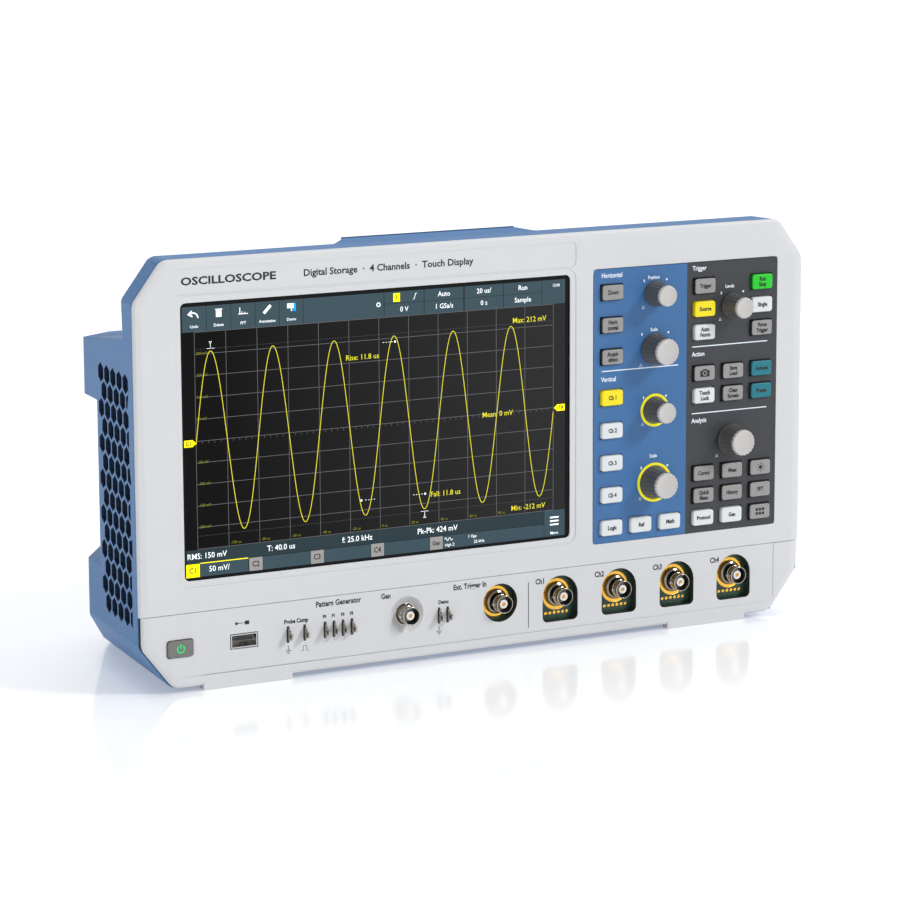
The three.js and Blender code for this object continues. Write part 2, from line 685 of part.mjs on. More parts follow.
// ---- Control panel, keys and knobs ----
const keyPlaces = keys.map((key) => ({ ...key, place: onPanel(key.at) }));
const knobPlaces = knobs.map((knob) => ({ ...knob, place: onPanel(knob.at) }));

function controlPanel() {
  const outline = rectangle(panelLeft, panelLeft + panelWidth, panelBottom, panelBottom + panelHeight);
  const keyHole = (place) =>
    centred(place, keyWidth + 2 * keyClearance, keyHeight + 2 * keyClearance);
  const holes = [
    ...keyPlaces.map(({ place }) => prism(keyHole(place), "y", -1, panelPlate + 1)),
    ...knobPlaces.map(({ place }) => rodY(place, shaftRadius + clearance, -1, panelPlate + 1)),
  ];
  return holes.reduce((body, hole) => body.subtract(hole),
    prism(roundCorners(outline, 2 - clearance), "y", 0, panelPlate));
}

function cappedKey(place, width, height, proud, edge, radius, back) {
  const ring = (depth, inset) => ({
    depth,
    outline: roundCorners(
      insetCorners(centred(place, width, height), inset), Math.max(radius - inset, 0.1), 2),
  });
  const flange = centred(place, width + 2 * keyFlange, height + 2 * keyFlange);
  return loft([ring(-proud, edge), ring(-proud + edge, 0), ring(back - keyFlangeThickness / 2, 0)])
    .add(prism(flange, "y", back - keyFlangeThickness, back));
}

const keyBack = panelPlate + 0.4 + keyFlangeThickness;

function keyBoard() {
  const outline = rectangle(
    panelLeft + 2, panelLeft + panelWidth - 2, panelBottom + 1, panelBottom + panelHeight - 1);
  const board = joined([
    prism(outline, "y", boardDepth, boardDepth + boardThickness),
    ...knobPlaces.map(({ place }) =>
      prism(centred(place, encoderSize, encoderSize), "y", encoderDepth, shaftEnd + 1)),
  ]);
  const shaftHole = (place) =>
    rodY(place, shaftRadius + shaftClearance, 0, shaftEnd + shaftClearance);
  return knobPlaces.reduce((body, { place }) => body.subtract(shaftHole(place)), board);
}

function turningKnob(place, { base, face }) {
  return turned([
    [0, -knobReach],
    [face - knobFaceBevel, -knobReach],
    [face, -knobReach + knobFaceBevel],
    [face + 0.25, -knobReach * 0.72],
    [base - 0.6, -knobGap - 1.6],
    [base, -knobGap - 0.8],
    [base, -knobGap],
    [shaftRadius, -knobGap],
    [shaftRadius, shaftEnd],
    [0, shaftEnd],
  ], place);
}

addPiece("control_panel", controlPanel(), "panel");
addPiece("keypad_board", keyBoard(), "board");
for (const { name, place, colour } of keyPlaces) {
  addPiece(name + "_key", cappedKey(place, keyWidth, keyHeight, keyProud, keyEdge, 0.8, keyBack), colour);
}
for (const { name, place, size } of knobPlaces) addPiece(name, turningKnob(place, size), "knob");
addPiece("power_key",
  cappedKey(powerPlace, powerKey.width, powerKey.height, powerKey.proud, keyEdge, powerKey.radius,
    spigotDepth + 0.4 + keyFlangeThickness),
  "rubberKey");

// ---- Front connectors ----
function coaxialSocket(place, collarFront, collarBack) {
  const barrel = turned([
    [0, -socketReach + 1.2],
    [dielectricRadius, -socketReach + 1.2],
    [dielectricRadius, -socketReach + boreDepth],
    [boreRadius, -socketReach + boreDepth],
    [boreRadius, -socketReach],
    [barrelRadius, -socketReach],
    [barrelRadius, collarFront],
    [collarRadius, collarFront],
    [collarRadius, collarBack],
    [barrelRadius, collarBack],
    [barrelRadius, socketTail],
    [0, socketTail],
  ], place, 16);
  const [x, z] = place;
  const reach = barrelRadius + lugReach;
  const lugs = [[x - reach, x - boreRadius - 0.2], [x + boreRadius + 0.2, x + reach]].map(
    ([from, to]) => rodX(-socketReach + lugSetback, z, lugRadius, from, to));
  return joined([barrel, ...lugs]);
}

const cardCollar = [inputBoardDepth - clearance - 1.4, inputBoardDepth - clearance - 0.01];
const hiddenCollar = [connectorPlate + clearance, connectorPlate + clearance + 1.6];

function inputBoard() {
  const [left, right] = inputBoardEnds.map((along) => onConnectors([along, 0])[0]);
  const bottom = wall + spigotWall + 3 * clearance + 0.6;
  const board = prism(rectangle(left, right, bottom, connectorHeight - 1), "y",
    inputBoardDepth, inputBoardDepth + boardThickness);
  return [triggerPlace, ...channelPlaces].reduce(
    (body, place) =>
      body.subtract(rodY(place, barrelRadius + clearance, inputBoardDepth - 1, spigotDepth + 2, 16)),
    board);
}

function usbSocket([x, z]) {
  const { width, height, depth, wall: skin, tongueWidth, tongueHeight } = usbShell;
  const start = 0.4;
  const mouth = centred([x, z], width - 2 * skin, height - 2 * skin);
  const tongue = centred([x, z + height * 0.14], tongueWidth, tongueHeight);
  return prism(centred([x, z], width, height), "y", start, start + depth)
    .subtract(prism(mouth, "y", start - 1, start + depth - 2))
    .add(prism(tongue, "y", start + 1, start + depth - 1));
}

// Sheet-metal test lugs: upright blades with a hooked end, all on one carrier behind the bezel.
function terminalStrip() {
  const [first] = lugCentres[0];
  const [last] = lugCentres.at(-1);
  const carrierFront = spigotDepth + clearance;
  const lugs = lugCentres.map(([x, z]) => {
    const outline = [
      point(carrierFront + 1, z - lugHeight / 2),
      point(carrierFront + 1, z + lugHeight / 2),
      point(-1, z + lugHeight / 2),
      point(-lugProud * 0.55, z + lugHeight * 0.18),
      point(-lugProud, z - lugHeight * 0.05),
      point(-lugProud, z - lugHeight * 0.38),
      point(-lugProud + 1.2, z - lugHeight / 2),
    ];
    const eye = circle([-lugProud * 0.45, z - lugHeight * 0.16], lugLoop * 0.5, 10);
    return prism(outline.reverse(), "x", x - lugThickness / 2, x + lugThickness / 2)
      .subtract(prism(eye, "x", x - 2, x + 2));
  });
  const row = lugCentres[0][1];
  const generator = generatorPlace[0];
  const carrier = block(
    first - 3, last + 3, carrierFront, carrierFront + 4, row - lugHeight / 2 - 1, row + lugHeight / 2 + 1);
  const around = block(
    generator - collarRadius - 2, generator + collarRadius + 2,
    0, carrierFront + 10, row - 3.4, connectorHeight);
  return joined([carrier, ...lugs]).subtract(around);
}

channelPlaces.forEach((place, n) => {
  addPiece(`channel_${n + 1}_socket`, coaxialSocket(place, ...cardCollar), "nickel");
});
addPiece("external_trigger_socket", coaxialSocket(triggerPlace, ...cardCollar), "nickel");
addPiece("generator_socket", coaxialSocket(generatorPlace, ...hiddenCollar), "nickel");
addPiece("input_board", inputBoard(), "board");
addPiece("usb_host_port", usbSocket(usbPlace), "steel");
addPiece("terminal_strip", terminalStrip(), "nickel");

// ---- Inside ----
// The main board, with the two data sockets that pass through the rear wall.
function mainBoard() {
  const back = mainBoardDepth + boardThickness;
  const socket = ([x, z], { width, height, cavity }) =>
    prism(centred([x, z], width, height), "y", back - 0.5, bandRearDepth).subtract(
      prism(centred([x, z], cavity[0], cavity[1]), "y", bandRearDepth - cavity[2], bandRearDepth + 1));
  const tongue = prism(centred(usbDevicePlace, ...usbDevice.tongue), "y",
    bandRearDepth - usbDevice.cavity[2] - 0.5, bandRearDepth - 1);
  const supplyEnd = supplyStart[0] + supplySize[0];
  const board = block(
    supplyEnd + 6, frontWidth - mainBoardInset, mainBoardDepth, back, bandBottom + 4, bandTop - 4);
  return joined([board, socket(lanPlace, lanSocket), socket(usbDevicePlace, usbDevice), tongue]);
}

// The power supply, with the mains inlet on its rear side.
function powerSupply() {
  const [x, y, z] = supplyStart;
  const [width, depth, height] = supplySize;
  const [cavityWidth, cavityHeight, cavityDepth] = inletCavity;
  const [inletX, inletZ] = inletCentre;
  const floor = bandRearDepth - cavityDepth;
  const blades = [[-7, -4], [7, -4], [0, 2]].map(([across, up]) =>
    prism(centred([inletX + across, inletZ + up], blade.width, blade.height), "y",
      floor - 0.5, floor + blade.length));
  return joined([
    block(x, x + width, y, y + depth, z, z + height)
      .add(prism(centred(inletCentre, ...inletSize), "y", y + depth - 1, bandRearDepth))
      .subtract(prism(centred(inletCentre, cavityWidth, cavityHeight), "y", floor, bandRearDepth + 1)),
    ...blades,
  ]);
}

// The fan blows along X; its frame is drawn flat and carried along X, as (Y, Z) outlines.
const fanOuter = frontWidth - fanInset;
const fanInner = fanOuter - fanThickness;

function fanHousing() {
  const frame = prism(roundCorners(centred(fanCentre, fanSize, fanSize), 4), "x", fanInner, fanOuter)
    .subtract(prism(circle(fanCentre, fanBore, 36), "x", fanInner - 1, fanOuter + 1));
  const strutEnd = fanInner + 2.4;
  const struts = [0, 1, 2].map((n) => {
    const turn = (n * Math.PI) / 3 + Math.PI / 12;
    const bar = centred([0, 0], fanSize - 3, 3).map((p) =>
      p.rotateAround(point(0, 0), turn).add(point(...fanCentre)));
    return prism(bar, "x", fanInner, strutEnd);
  });
  const hub = prism(circle(fanCentre, hubRadius, 24), "x", fanInner, strutEnd + 1);
  return joined([frame, ...struts, hub]).subtract(
    prism(circle(fanCentre, fanShaftRadius + clearance, 12), "x", fanInner + 0.6, fanOuter));
}

function fanRotor() {
  const start = fanInner + 4.2;
  const end = fanOuter - 1.5;
  const hub = prism(circle(fanCentre, hubRadius, 24), "x", start, end);
  const shaft = prism(circle(fanCentre, fanShaftRadius, 12), "x", fanInner + 1, start + 1);
  const lean = 0.55; // how far a blade turns about the axis from one edge to the other
  const blades = Array.from({ length: bladeCount }, (_, n) => {
    const turn = (2 * Math.PI * n) / bladeCount;
    const across = (angle) => {
      const along = point(Math.cos(angle), Math.sin(angle));
      const side = point(-along.y, along.x).multiplyScalar(0.8);
      return [[hubRadius - 1, -1], [rotorRadius, -1], [rotorRadius, 1], [hubRadius - 1, 1]].map(([r, s]) =>
        along.clone().multiplyScalar(r).add(side.clone().multiplyScalar(s)).add(point(...fanCentre)));
    };
    return loft([
      { depth: start + 1, outline: across(turn) },
      { depth: end - 1, outline: across(turn + lean) },
    ]);
  });
  return joined([hub, shaft, ...blades.map(turnedToX)]);
}

// A loft runs along Y with (X, Z) outlines; this lays it along X with (Y, Z) outlines.
function turnedToX(body) {
  return body.transform([0, 1, 0, 0, 1, 0, 0, 0, 0, 0, 1, 0, 0, 0, 0, 1]);
}

addPiece("main_board", mainBoard(), "board");
addPiece("power_supply", powerSupply(), "steel");
addPiece("fan_housing", fanHousing(), "black");
addPiece("fan_rotor", fanRotor(), "black");

export default oscilloscope;
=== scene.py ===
# Oscilloscope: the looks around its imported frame. Places are metres in the frame; sizes of small shapes are
# millimetres, turned to metres where they are placed.
import json
import math

import bmesh
import bpy
import numpy as np
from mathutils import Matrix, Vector


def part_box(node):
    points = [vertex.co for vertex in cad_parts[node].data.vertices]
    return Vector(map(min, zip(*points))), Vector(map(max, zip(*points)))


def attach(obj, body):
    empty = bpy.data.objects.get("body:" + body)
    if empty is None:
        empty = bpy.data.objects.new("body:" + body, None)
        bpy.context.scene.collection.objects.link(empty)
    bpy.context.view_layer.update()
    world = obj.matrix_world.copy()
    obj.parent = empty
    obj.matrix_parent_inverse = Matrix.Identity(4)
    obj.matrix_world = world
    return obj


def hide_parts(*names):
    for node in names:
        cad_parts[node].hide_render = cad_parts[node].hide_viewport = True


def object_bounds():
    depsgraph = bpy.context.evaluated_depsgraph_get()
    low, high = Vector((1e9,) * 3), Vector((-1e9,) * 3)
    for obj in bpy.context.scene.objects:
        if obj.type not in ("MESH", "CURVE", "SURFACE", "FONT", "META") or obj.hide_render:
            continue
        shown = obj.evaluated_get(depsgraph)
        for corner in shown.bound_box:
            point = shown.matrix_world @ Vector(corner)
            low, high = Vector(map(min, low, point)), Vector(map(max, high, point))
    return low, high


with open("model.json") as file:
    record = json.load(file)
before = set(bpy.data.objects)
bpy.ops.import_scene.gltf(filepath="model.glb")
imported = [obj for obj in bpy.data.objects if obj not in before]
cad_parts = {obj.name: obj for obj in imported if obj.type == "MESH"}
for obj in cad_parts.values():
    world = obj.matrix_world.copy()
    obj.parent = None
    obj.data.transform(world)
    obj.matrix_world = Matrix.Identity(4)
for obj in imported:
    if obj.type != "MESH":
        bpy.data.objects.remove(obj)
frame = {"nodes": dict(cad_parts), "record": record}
cadBox = [list(corner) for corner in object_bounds()]
mm = 0.001
openings = {o["name"]: o["box_m"] for o in frame["record"]["physics"]["openings"]}
print("frame loaded:", len(frame["nodes"]), "nodes")

# Camera, lights and floor.
studio = dict(
    cameraAt=(-0.83099, -1.56735, 0.41943),
    cameraTurn=(79.7168, 0.2390, -28.3436),  # degrees
    lens=135.6,
    floorHalf=20.0,
    floorColour=(243, 244, 245),
    floorRoughness=0.1,
    floorGlow=0.3,  # lit from below, like a light table
    worldColour=(250, 251, 253),
    horizon=1.12,
    zenith=0.3,
    # name, direction it comes from, width in degrees, strength
    lights=[
        ("key_light", (0.6, -0.55, 0.58), 14, 1.5),
        ("top_light", (0.1, 0.35, 0.93), 60, 1.35),
    ],
)


def linear(colour):  # 0-255 display values to linear light
    shares = np.array(colour, float) / 255
    curve = np.where(shares <= 0.04045, shares / 12.92, ((shares + 0.055) / 1.055) ** 2.4)
    return (*curve.tolist(), 1.0)


def softLight(name, source, width, strength):  # far and wide, so its shadows are soft and it doesn't fall off
    light = bpy.data.lights.new(name, "SUN")
    light.angle = math.radians(width)
    light.energy = strength
    lamp = bpy.data.objects.new(name, light)
    lamp.rotation_euler = Vector(source).to_track_quat("Z", "Y").to_euler()
    bpy.context.scene.collection.objects.link(lamp)


# Sky: strength = zenith + (horizon - zenith) (1 - z)^2, z the height of the direction looked in.
def makeSky():
    world = bpy.data.worlds.new("studio")
    world.use_nodes = True
    tree = world.node_tree
    sky = tree.nodes["Background"]
    sky.inputs["Color"].default_value = linear(studio["worldColour"])
    apart = tree.nodes.new("ShaderNodeSeparateXYZ")
    tree.links.new(tree.nodes.new("ShaderNodeTexCoord").outputs["Generated"], apart.inputs[0])
    low = tree.nodes.new("ShaderNodeMapRange")
    low.inputs["To Min"].default_value = 1.0
    low.inputs["To Max"].default_value = 0.0
    tree.links.new(apart.outputs["Z"], low.inputs["Value"])
    squared = tree.nodes.new("ShaderNodeMath")
    squared.operation = "POWER"
    squared.inputs[1].default_value = 2.0
    tree.links.new(low.outputs["Result"], squared.inputs[0])
    strength = tree.nodes.new("ShaderNodeMapRange")
    strength.inputs["To Min"].default_value = studio["zenith"]
    strength.inputs["To Max"].default_value = studio["horizon"]
    tree.links.new(squared.outputs[0], strength.inputs["Value"])
    tree.links.new(strength.outputs["Result"], sky.inputs["Strength"])
    bpy.context.scene.world = world


def makeStudio():
    camera = bpy.data.objects.new("camera", bpy.data.cameras.new("camera"))
    camera.data.lens = studio["lens"]
    camera.data.sensor_width = 36
    camera.data.clip_start = 0.05
    camera.location = studio["cameraAt"]
    camera.rotation_euler = [math.radians(angle) for angle in studio["cameraTurn"]]
    bpy.context.scene.collection.objects.link(camera)
    bpy.context.scene.camera = camera
    for light in studio["lights"]:
        softLight(*light)
    makeSky()
    bpy.context.scene.view_settings.view_transform = "Standard"

    half = studio["floorHalf"]
    floorMesh = bpy.data.meshes.new("floor")
    floorMesh.from_pydata([(-half, -half, 0), (half, -half, 0), (half, half, 0), (-half, half, 0)],
                          [], [(0, 1, 2, 3)])
    floor = bpy.data.objects.new("floor", floorMesh)
    floor.location.z = cadBox[0][2] - 0.0002
    bpy.context.scene.collection.objects.link(floor)
    floor.data.materials.append(finish("floor"))


# Finishes. colour and shade are 0-255; grain is (bumps per metre, height in metres);
# mottle is (patches per metre, share of shade mixed in); gloss is (spread of roughness, patches per metre).


# A part of the display that shines a little through its glass.
def screenLight(colour, glow, roughness=0.2, mottle=(60, 0.1), gloss=(0.05, 100)):
    return dict(colour=colour, roughness=roughness, specular=0.12, glow=glow, mottle=mottle, gloss=gloss)


finishes = dict(
    floor=dict(colour=studio["floorColour"], roughness=studio["floorRoughness"], glow=studio["floorGlow"],
               mottle=(0.8, 0.05), gloss=(0.03, 3)),
    bezelPlastic=dict(colour=(211, 212, 214), roughness=0.46, grain=(2600, 0.000012),
                      mottle=(60, 0.05), gloss=(0.06, 400)),
    shellPlastic=dict(colour=(70, 118, 170), roughness=0.48, specular=0.35, grain=(1900, 0.00003),
                      mottle=(60, 0.07), gloss=(0.06, 400)),
    footPlastic=dict(colour=(70, 108, 152), roughness=0.5, grain=(1800, 0.00002),
                     mottle=(40, 0.2), gloss=(0.1, 100)),
    panelPrint=dict(colour=(64, 112, 164), roughness=0.4, specular=0.35, grain=(2400, 0.00001),
                    mottle=(26, 0.1), gloss=(0.08, 110)),
    screenGlass=dict(colour=(5, 6, 8), roughness=0.07, specular=0.14, mottle=(8, 0.1), gloss=(0.03, 40)),
    picture=dict(colour=(2, 2, 3), roughness=0.09, specular=0.1, mottle=(10, 0.05), gloss=(0.02, 30)),
    greyPrint=dict(colour=(150, 149, 148), roughness=0.5, grain=(2200, 0.00001),
                   mottle=(220, 0.14), gloss=(0.1, 400)),
    darkRubber=dict(colour=(44, 42, 42), roughness=0.55, grain=(2600, 0.00002),
                    mottle=(180, 0.25), gloss=(0.12, 400)),
    whiteKeyRubber=dict(colour=(222, 226, 228), roughness=0.45, grain=(2600, 0.00001),
                        mottle=(200, 0.1), gloss=(0.1, 400)),
    yellowKeyRubber=dict(colour=(242, 222, 0), roughness=0.42, grain=(2600, 0.00001), glow=0.06,
                         mottle=(200, 0.1), gloss=(0.1, 400)),
    greenKeyRubber=dict(colour=(0, 196, 18), roughness=0.42, grain=(2600, 0.00001), glow=0.1,
                        mottle=(200, 0.1), gloss=(0.1, 400)),
    greenSide=dict(colour=(8, 120, 34), roughness=0.5, grain=(2600, 0.00001), glow=0.05,
                   mottle=(200, 0.2), gloss=(0.1, 400)),
    tealKeyRubber=dict(colour=(0, 116, 132), roughness=0.45, grain=(2600, 0.00001),
                       mottle=(200, 0.1), gloss=(0.1, 400)),
    tealSide=dict(colour=(16, 62, 72), roughness=0.5, grain=(2600, 0.00001),
                  mottle=(200, 0.2), gloss=(0.1, 400)),
    powerRubber=dict(colour=(118, 117, 114), roughness=0.6, grain=(2000, 0.00003),
                     mottle=(160, 0.2), gloss=(0.1, 300)),
    knobBody=dict(colour=(92, 90, 89), roughness=0.34, grain=(2200, 0.00001),
                  mottle=(150, 0.2), gloss=(0.12, 300)),
    knobCap=dict(colour=(196, 193, 190), roughness=0.34, metal=0.15, grain=(3000, 0.00001),
                 mottle=(170, 0.12), gloss=(0.1, 500)),
    nickel=dict(colour=(186, 180, 172), roughness=0.12, metal=1.0, grain=(900, 0.000006),
                mottle=(260, 0.3), gloss=(0.12, 600)),
    gold=dict(colour=(252, 196, 84), roughness=0.24, metal=1.0, grain=(1500, 0.000008),
              mottle=(180, 0.3), gloss=(0.14, 500)),
    dielectric=dict(colour=(240, 238, 232), roughness=0.4, grain=(2500, 0.00001),
                    mottle=(300, 0.08), gloss=(0.08, 400)),
    # Painted shade: dark finishes for the walls inside the side vents, socket cutouts, lug slots and lug
    # eyes.
    paintedShadeVentWall=dict(colour=(34, 52, 80), roughness=0.55, mottle=(100, 0.3), gloss=(0.1, 200)),
    cutoutWall=dict(colour=(52, 54, 52), roughness=0.5, mottle=(100, 0.3), gloss=(0.1, 200)),
    # Painted shade: darker copies of the socket nickel for the collar, standing in for dark reflections, and
    # for the bore, standing in for shade inside.
    socketMetal=dict(colour=(150, 138, 124), roughness=0.16, metal=1.0, grain=(900, 0.000006),
                     mottle=(260, 0.4), gloss=(0.14, 600)),
    boreMetal=dict(colour=(58, 54, 50), roughness=0.3, metal=0.8, mottle=(260, 0.3), gloss=(0.14, 600)),
    circuitBoard=dict(colour=(30, 66, 48), roughness=0.3, grain=(700, 0.00004),
                      mottle=(420, 0.45), gloss=(0.14, 500)),
    portSteel=dict(colour=(200, 200, 202), roughness=0.24, metal=1.0, grain=(1200, 0.00001),
                   mottle=(160, 0.25), gloss=(0.14, 400)),
    blackPlastic=dict(colour=(24, 24, 26), roughness=0.5, grain=(1800, 0.00002),
                      mottle=(120, 0.3), gloss=(0.12, 300)),
    blackRubber=dict(colour=(30, 30, 31), roughness=0.78, grain=(1400, 0.00005),
                     mottle=(90, 0.3), gloss=(0.1, 260)),
    caseMetal=dict(colour=(150, 152, 155), roughness=0.4, metal=1.0, grain=(500, 0.00002),
                   mottle=(60, 0.25), gloss=(0.12, 120)),
    # Painted light: the white print glows a little, though it is ink and no lamp.
    whiteInkPaintedGlow=dict(colour=(232, 240, 248), roughness=0.5, glow=0.05, mottle=(300, 0.08), gloss=(0.08, 500)),
    blackInk=dict(colour=(22, 23, 26), roughness=0.5, mottle=(300, 0.15), gloss=(0.08, 500)),
    ringLight=dict(colour=(246, 232, 10), roughness=0.4, glow=0.16, grain=(2000, 0.00001),
                   mottle=(200, 0.1), gloss=(0.08, 400)),
    traceLight=screenLight((214, 206, 48), 0.5, mottle=(60, 0.2)),
    dimTraceLight=screenLight((120, 116, 20), 0.5, mottle=(60, 0.2)),
    gridLight=screenLight((96, 96, 98), 0.55, mottle=(40, 0.2)),
    barLight=screenLight((52, 70, 78), 0.45, 0.12, (30, 0.2), (0.04, 60)),
    barDarkLight=screenLight((36, 50, 56), 0.45, 0.12, (30, 0.2), (0.04, 60)),
    greyBoxLight=screenLight((138, 136, 134), 0.45, 0.16, (40, 0.1), (0.04, 60)),
    whiteLight=screenLight((232, 238, 240), 0.7),
    yellowBoxLight=screenLight((250, 236, 0), 0.6, 0.16, (40, 0.08), (0.04, 60)),
    blueLight=screenLight((0, 150, 215), 0.6, 0.16, (40, 0.1), (0.04, 60)),
    greenLight=dict(colour=(10, 176, 92), roughness=0.3, glow=0.7, mottle=(200, 0.1), gloss=(0.05, 300)),
)
regions = {}  # a second colour past one place along an axis: axis, place, width of the change, colour
made = {}


def noise(tree, place, scale, detail=3.0):
    node = tree.nodes.new("ShaderNodeTexNoise")
    node.inputs["Scale"].default_value = scale
    node.inputs["Detail"].default_value = detail
    tree.links.new(place, node.inputs["Vector"])
    return node.outputs["Fac"]


def spread(tree, value, low, high):  # noise sits near the middle, so its 0.3 to 0.7 is stretched
    node = tree.nodes.new("ShaderNodeMapRange")
    node.inputs["From Min"].default_value = 0.3
    node.inputs["From Max"].default_value = 0.7
    node.inputs["To Min"].default_value = low
    node.inputs["To Max"].default_value = high
    tree.links.new(value, node.inputs["Value"])
    return node.outputs["Result"]


def mixed(tree, share, first, second):  # colours are 4-number values or sockets
    node = tree.nodes.new("ShaderNodeMix")
    node.data_type = "RGBA"
    tree.links.new(share, node.inputs["Factor"])
    for socket, colour in ((node.inputs[6], first), (node.inputs[7], second)):
        if isinstance(colour, bpy.types.NodeSocket):
            tree.links.new(colour, socket)
        else:
            socket.default_value = colour
    return node.outputs[2]


def finish(name):
    if name in made:
        return made[name]
    spec = finishes[name]
    material = bpy.data.materials.new(name)
    material.use_nodes = True
    tree = material.node_tree
    shader = tree.nodes["Principled BSDF"]
    place = tree.nodes.new("ShaderNodeTexCoord").outputs["Object"]
    base = linear(spec["colour"])
    patches, share = spec["mottle"]
    darker = tuple(0.72 * c for c in base[:3]) + (1.0,)
    colour = mixed(tree, spread(tree, noise(tree, place, patches), 0.0, share), base, darker)
    if name in regions:
        axis, start, width, beyond = regions[name]
        apart = tree.nodes.new("ShaderNodeSeparateXYZ")
        tree.links.new(place, apart.inputs["Vector"])
        step = tree.nodes.new("ShaderNodeMapRange")
        step.inputs["From Min"].default_value = start
        step.inputs["From Max"].default_value = start + width
        tree.links.new(apart.outputs[axis], step.inputs["Value"])
        colour = mixed(tree, step.outputs["Result"], colour, linear(beyond))
    tree.links.new(colour, shader.inputs["Base Color"])
    wander, every = spec["gloss"]
    middle = spec["roughness"]
    rough = spread(tree, noise(tree, place, every), middle - wander / 2, middle + wander / 2)
    tree.links.new(rough, shader.inputs["Roughness"])
    if "grain" in spec:
        bump = tree.nodes.new("ShaderNodeBump")
        bump.inputs["Distance"].default_value = spec["grain"][1]
        tree.links.new(noise(tree, place, spec["grain"][0], 2.0), bump.inputs["Height"])
        tree.links.new(bump.outputs["Normal"], shader.inputs["Normal"])
    shader.inputs["Metallic"].default_value = spec.get("metal", 0.0)
    shader.inputs["Specular IOR Level"].default_value = spec.get("specular", 0.5)
    if "glow" in spec:
        tree.links.new(colour, shader.inputs["Emission Color"])
        shader.inputs["Emission Strength"].default_value = spec["glow"]
    made[name] = material
    return material


# Shapes. A shape is (points, faces): points in local millimetres with w pointing out of the surface it sits
# on, faces a list of (rows of point numbers, ink of each row), where ink picks one of a piece's finishes.
towardsFront = np.array([[1, 0, 0], [0, 0, -1], [0, 1, 0]], float)
towardsRear = np.array([[-1, 0, 0], [0, 0, 1], [0, 1, 0]], float)
towardsRight = np.array([[0, 0, 1], [1, 0, 0], [0, 1, 0]], float)
towardsLeft = np.array([[0, 0, -1], [-1, 0, 0], [0, 1, 0]], float)
asDrawn = np.eye(3)


def placed(shape, at, turn=towardsFront):
    points, faces = shape
    return points @ turn.T * mm + np.array(at, float), faces


# Closed rings stacked outwards, each anticlockwise seen from outside: point (i, j) joins (i, j+1) and (i+1,
# j).
def stack(rings, inks=0, loop=False):
    count, steps = rings.shape[:2]
    index = np.arange(count * steps).reshape(count, steps)
    across = np.roll(index, -1, axis=1)
    above, aboveAcross = np.roll(index, -1, axis=0), np.roll(across, -1, axis=0)
    bands = count if loop else count - 1
    quads = np.stack([index, across, aboveAcross, above], -1)[:bands].reshape(-1, 4)
    shade = np.array(np.broadcast_to(inks, bands))
    faces = [(quads, np.repeat(shade, steps))]
    if not loop:
        faces.append((np.stack([index[0][::-1], index[-1]]), shade[[0, -1]]))
    return rings.reshape(-1, 3), faces


# Rounded rectangles, rows of (width, height, radius, w): each corner's arc is its centre + radius * (cos t,
# sin t).
def roundedRings(rows, cornerSteps=4):
    width, height, radius, out = np.array(rows, float).T[:, :, None, None]
    signs = np.array([[1, 1], [-1, 1], [-1, -1], [1, -1]])
    turn = (np.arange(4)[:, None] + np.linspace(0, 1, cornerSteps + 1)) * np.pi / 2
    x = signs[:, :1] * (width / 2 - radius) + radius * np.cos(turn)
    y = signs[:, 1:] * (height / 2 - radius) + radius * np.sin(turn)
    return np.stack([x, y, np.broadcast_to(out, x.shape)], -1).reshape(len(width), -1, 3)


# Turned form: rows of (radius, w); x = r cos t, y = r sin t, with r reduced by depth * (1 + cos(flutes t))
# / 2.
def turnedRings(rows, steps=40, flutes=0, depth=0.0):
    radius, out = np.array(rows, float).T[:, :, None]
    turn = np.linspace(0, 2 * np.pi, steps, endpoint=False)
    depth = np.broadcast_to(depth, len(radius))[:, None]
    reach = radius - depth * (1 + np.cos(flutes * turn)) / 2
    return np.stack([reach * np.cos(turn), reach * np.sin(turn), np.broadcast_to(out, reach.shape)], -1)


# Flat bars: rows of (left, bottom, right, top), each a box from w = low to w = high.
def slabs(rows, low, high):
    left, bottom, right, top = np.array(rows, float).reshape(-1, 4).T
    ring = np.stack([np.stack([left, right, right, left], -1), np.stack([bottom, bottom, top, top], -1)], -1)
    out = np.broadcast_to(np.array([low, high])[None, :, None, None], (len(left), 2, 4, 1))
    points = np.concatenate([np.broadcast_to(ring[:, None], (len(left), 2, 4, 2)), out], -1)
    box = np.array([[3, 2, 1, 0], [4, 5, 6, 7], [0, 1, 5, 4], [1, 2, 6, 5], [2, 3, 7, 6], [3, 0, 4, 7]])
    quads = (np.arange(len(left))[:, None, None] * 8 + box).reshape(-1, 4)
    return points.reshape(-1, 3), [(quads, np.zeros(len(quads), int))]


# Ribbon along a path of (x, y): a box section, half a width to each side of the path, from w = low to high.
def ribbon(path, width, low, high, closed=False):
    path = np.array(path, float)
    along = (np.roll(path, -1, 0) - np.roll(path, 1, 0)) if closed else np.gradient(path, axis=0)
    along /= np.linalg.norm(along, axis=1, keepdims=True)
    side = np.stack([-along[:, 1], along[:, 0]], -1) * width / 2
    rings = np.stack([path - side, path + side, path + side, path - side], 1)
    out = np.broadcast_to(np.array([low, low, high, high])[None, :, None], rings.shape[:2] + (1,))
    return stack(np.concatenate([rings, out], -1), loop=closed)


def shifted(shape, x, y, w=0.0):
    return shape[0] + np.array([x, y, w]), shape[1]


def inked(shape, ink):
    return shape[0], [(rows, np.full(len(rows), ink)) for rows, _ in shape[1]]


def joined(shapes):
    faces, start = [], 0
    for points, parts in shapes:
        faces += [(rows + start, inks) for rows, inks in parts]
        start += len(points)
    return np.concatenate([points for points, _ in shapes]), faces


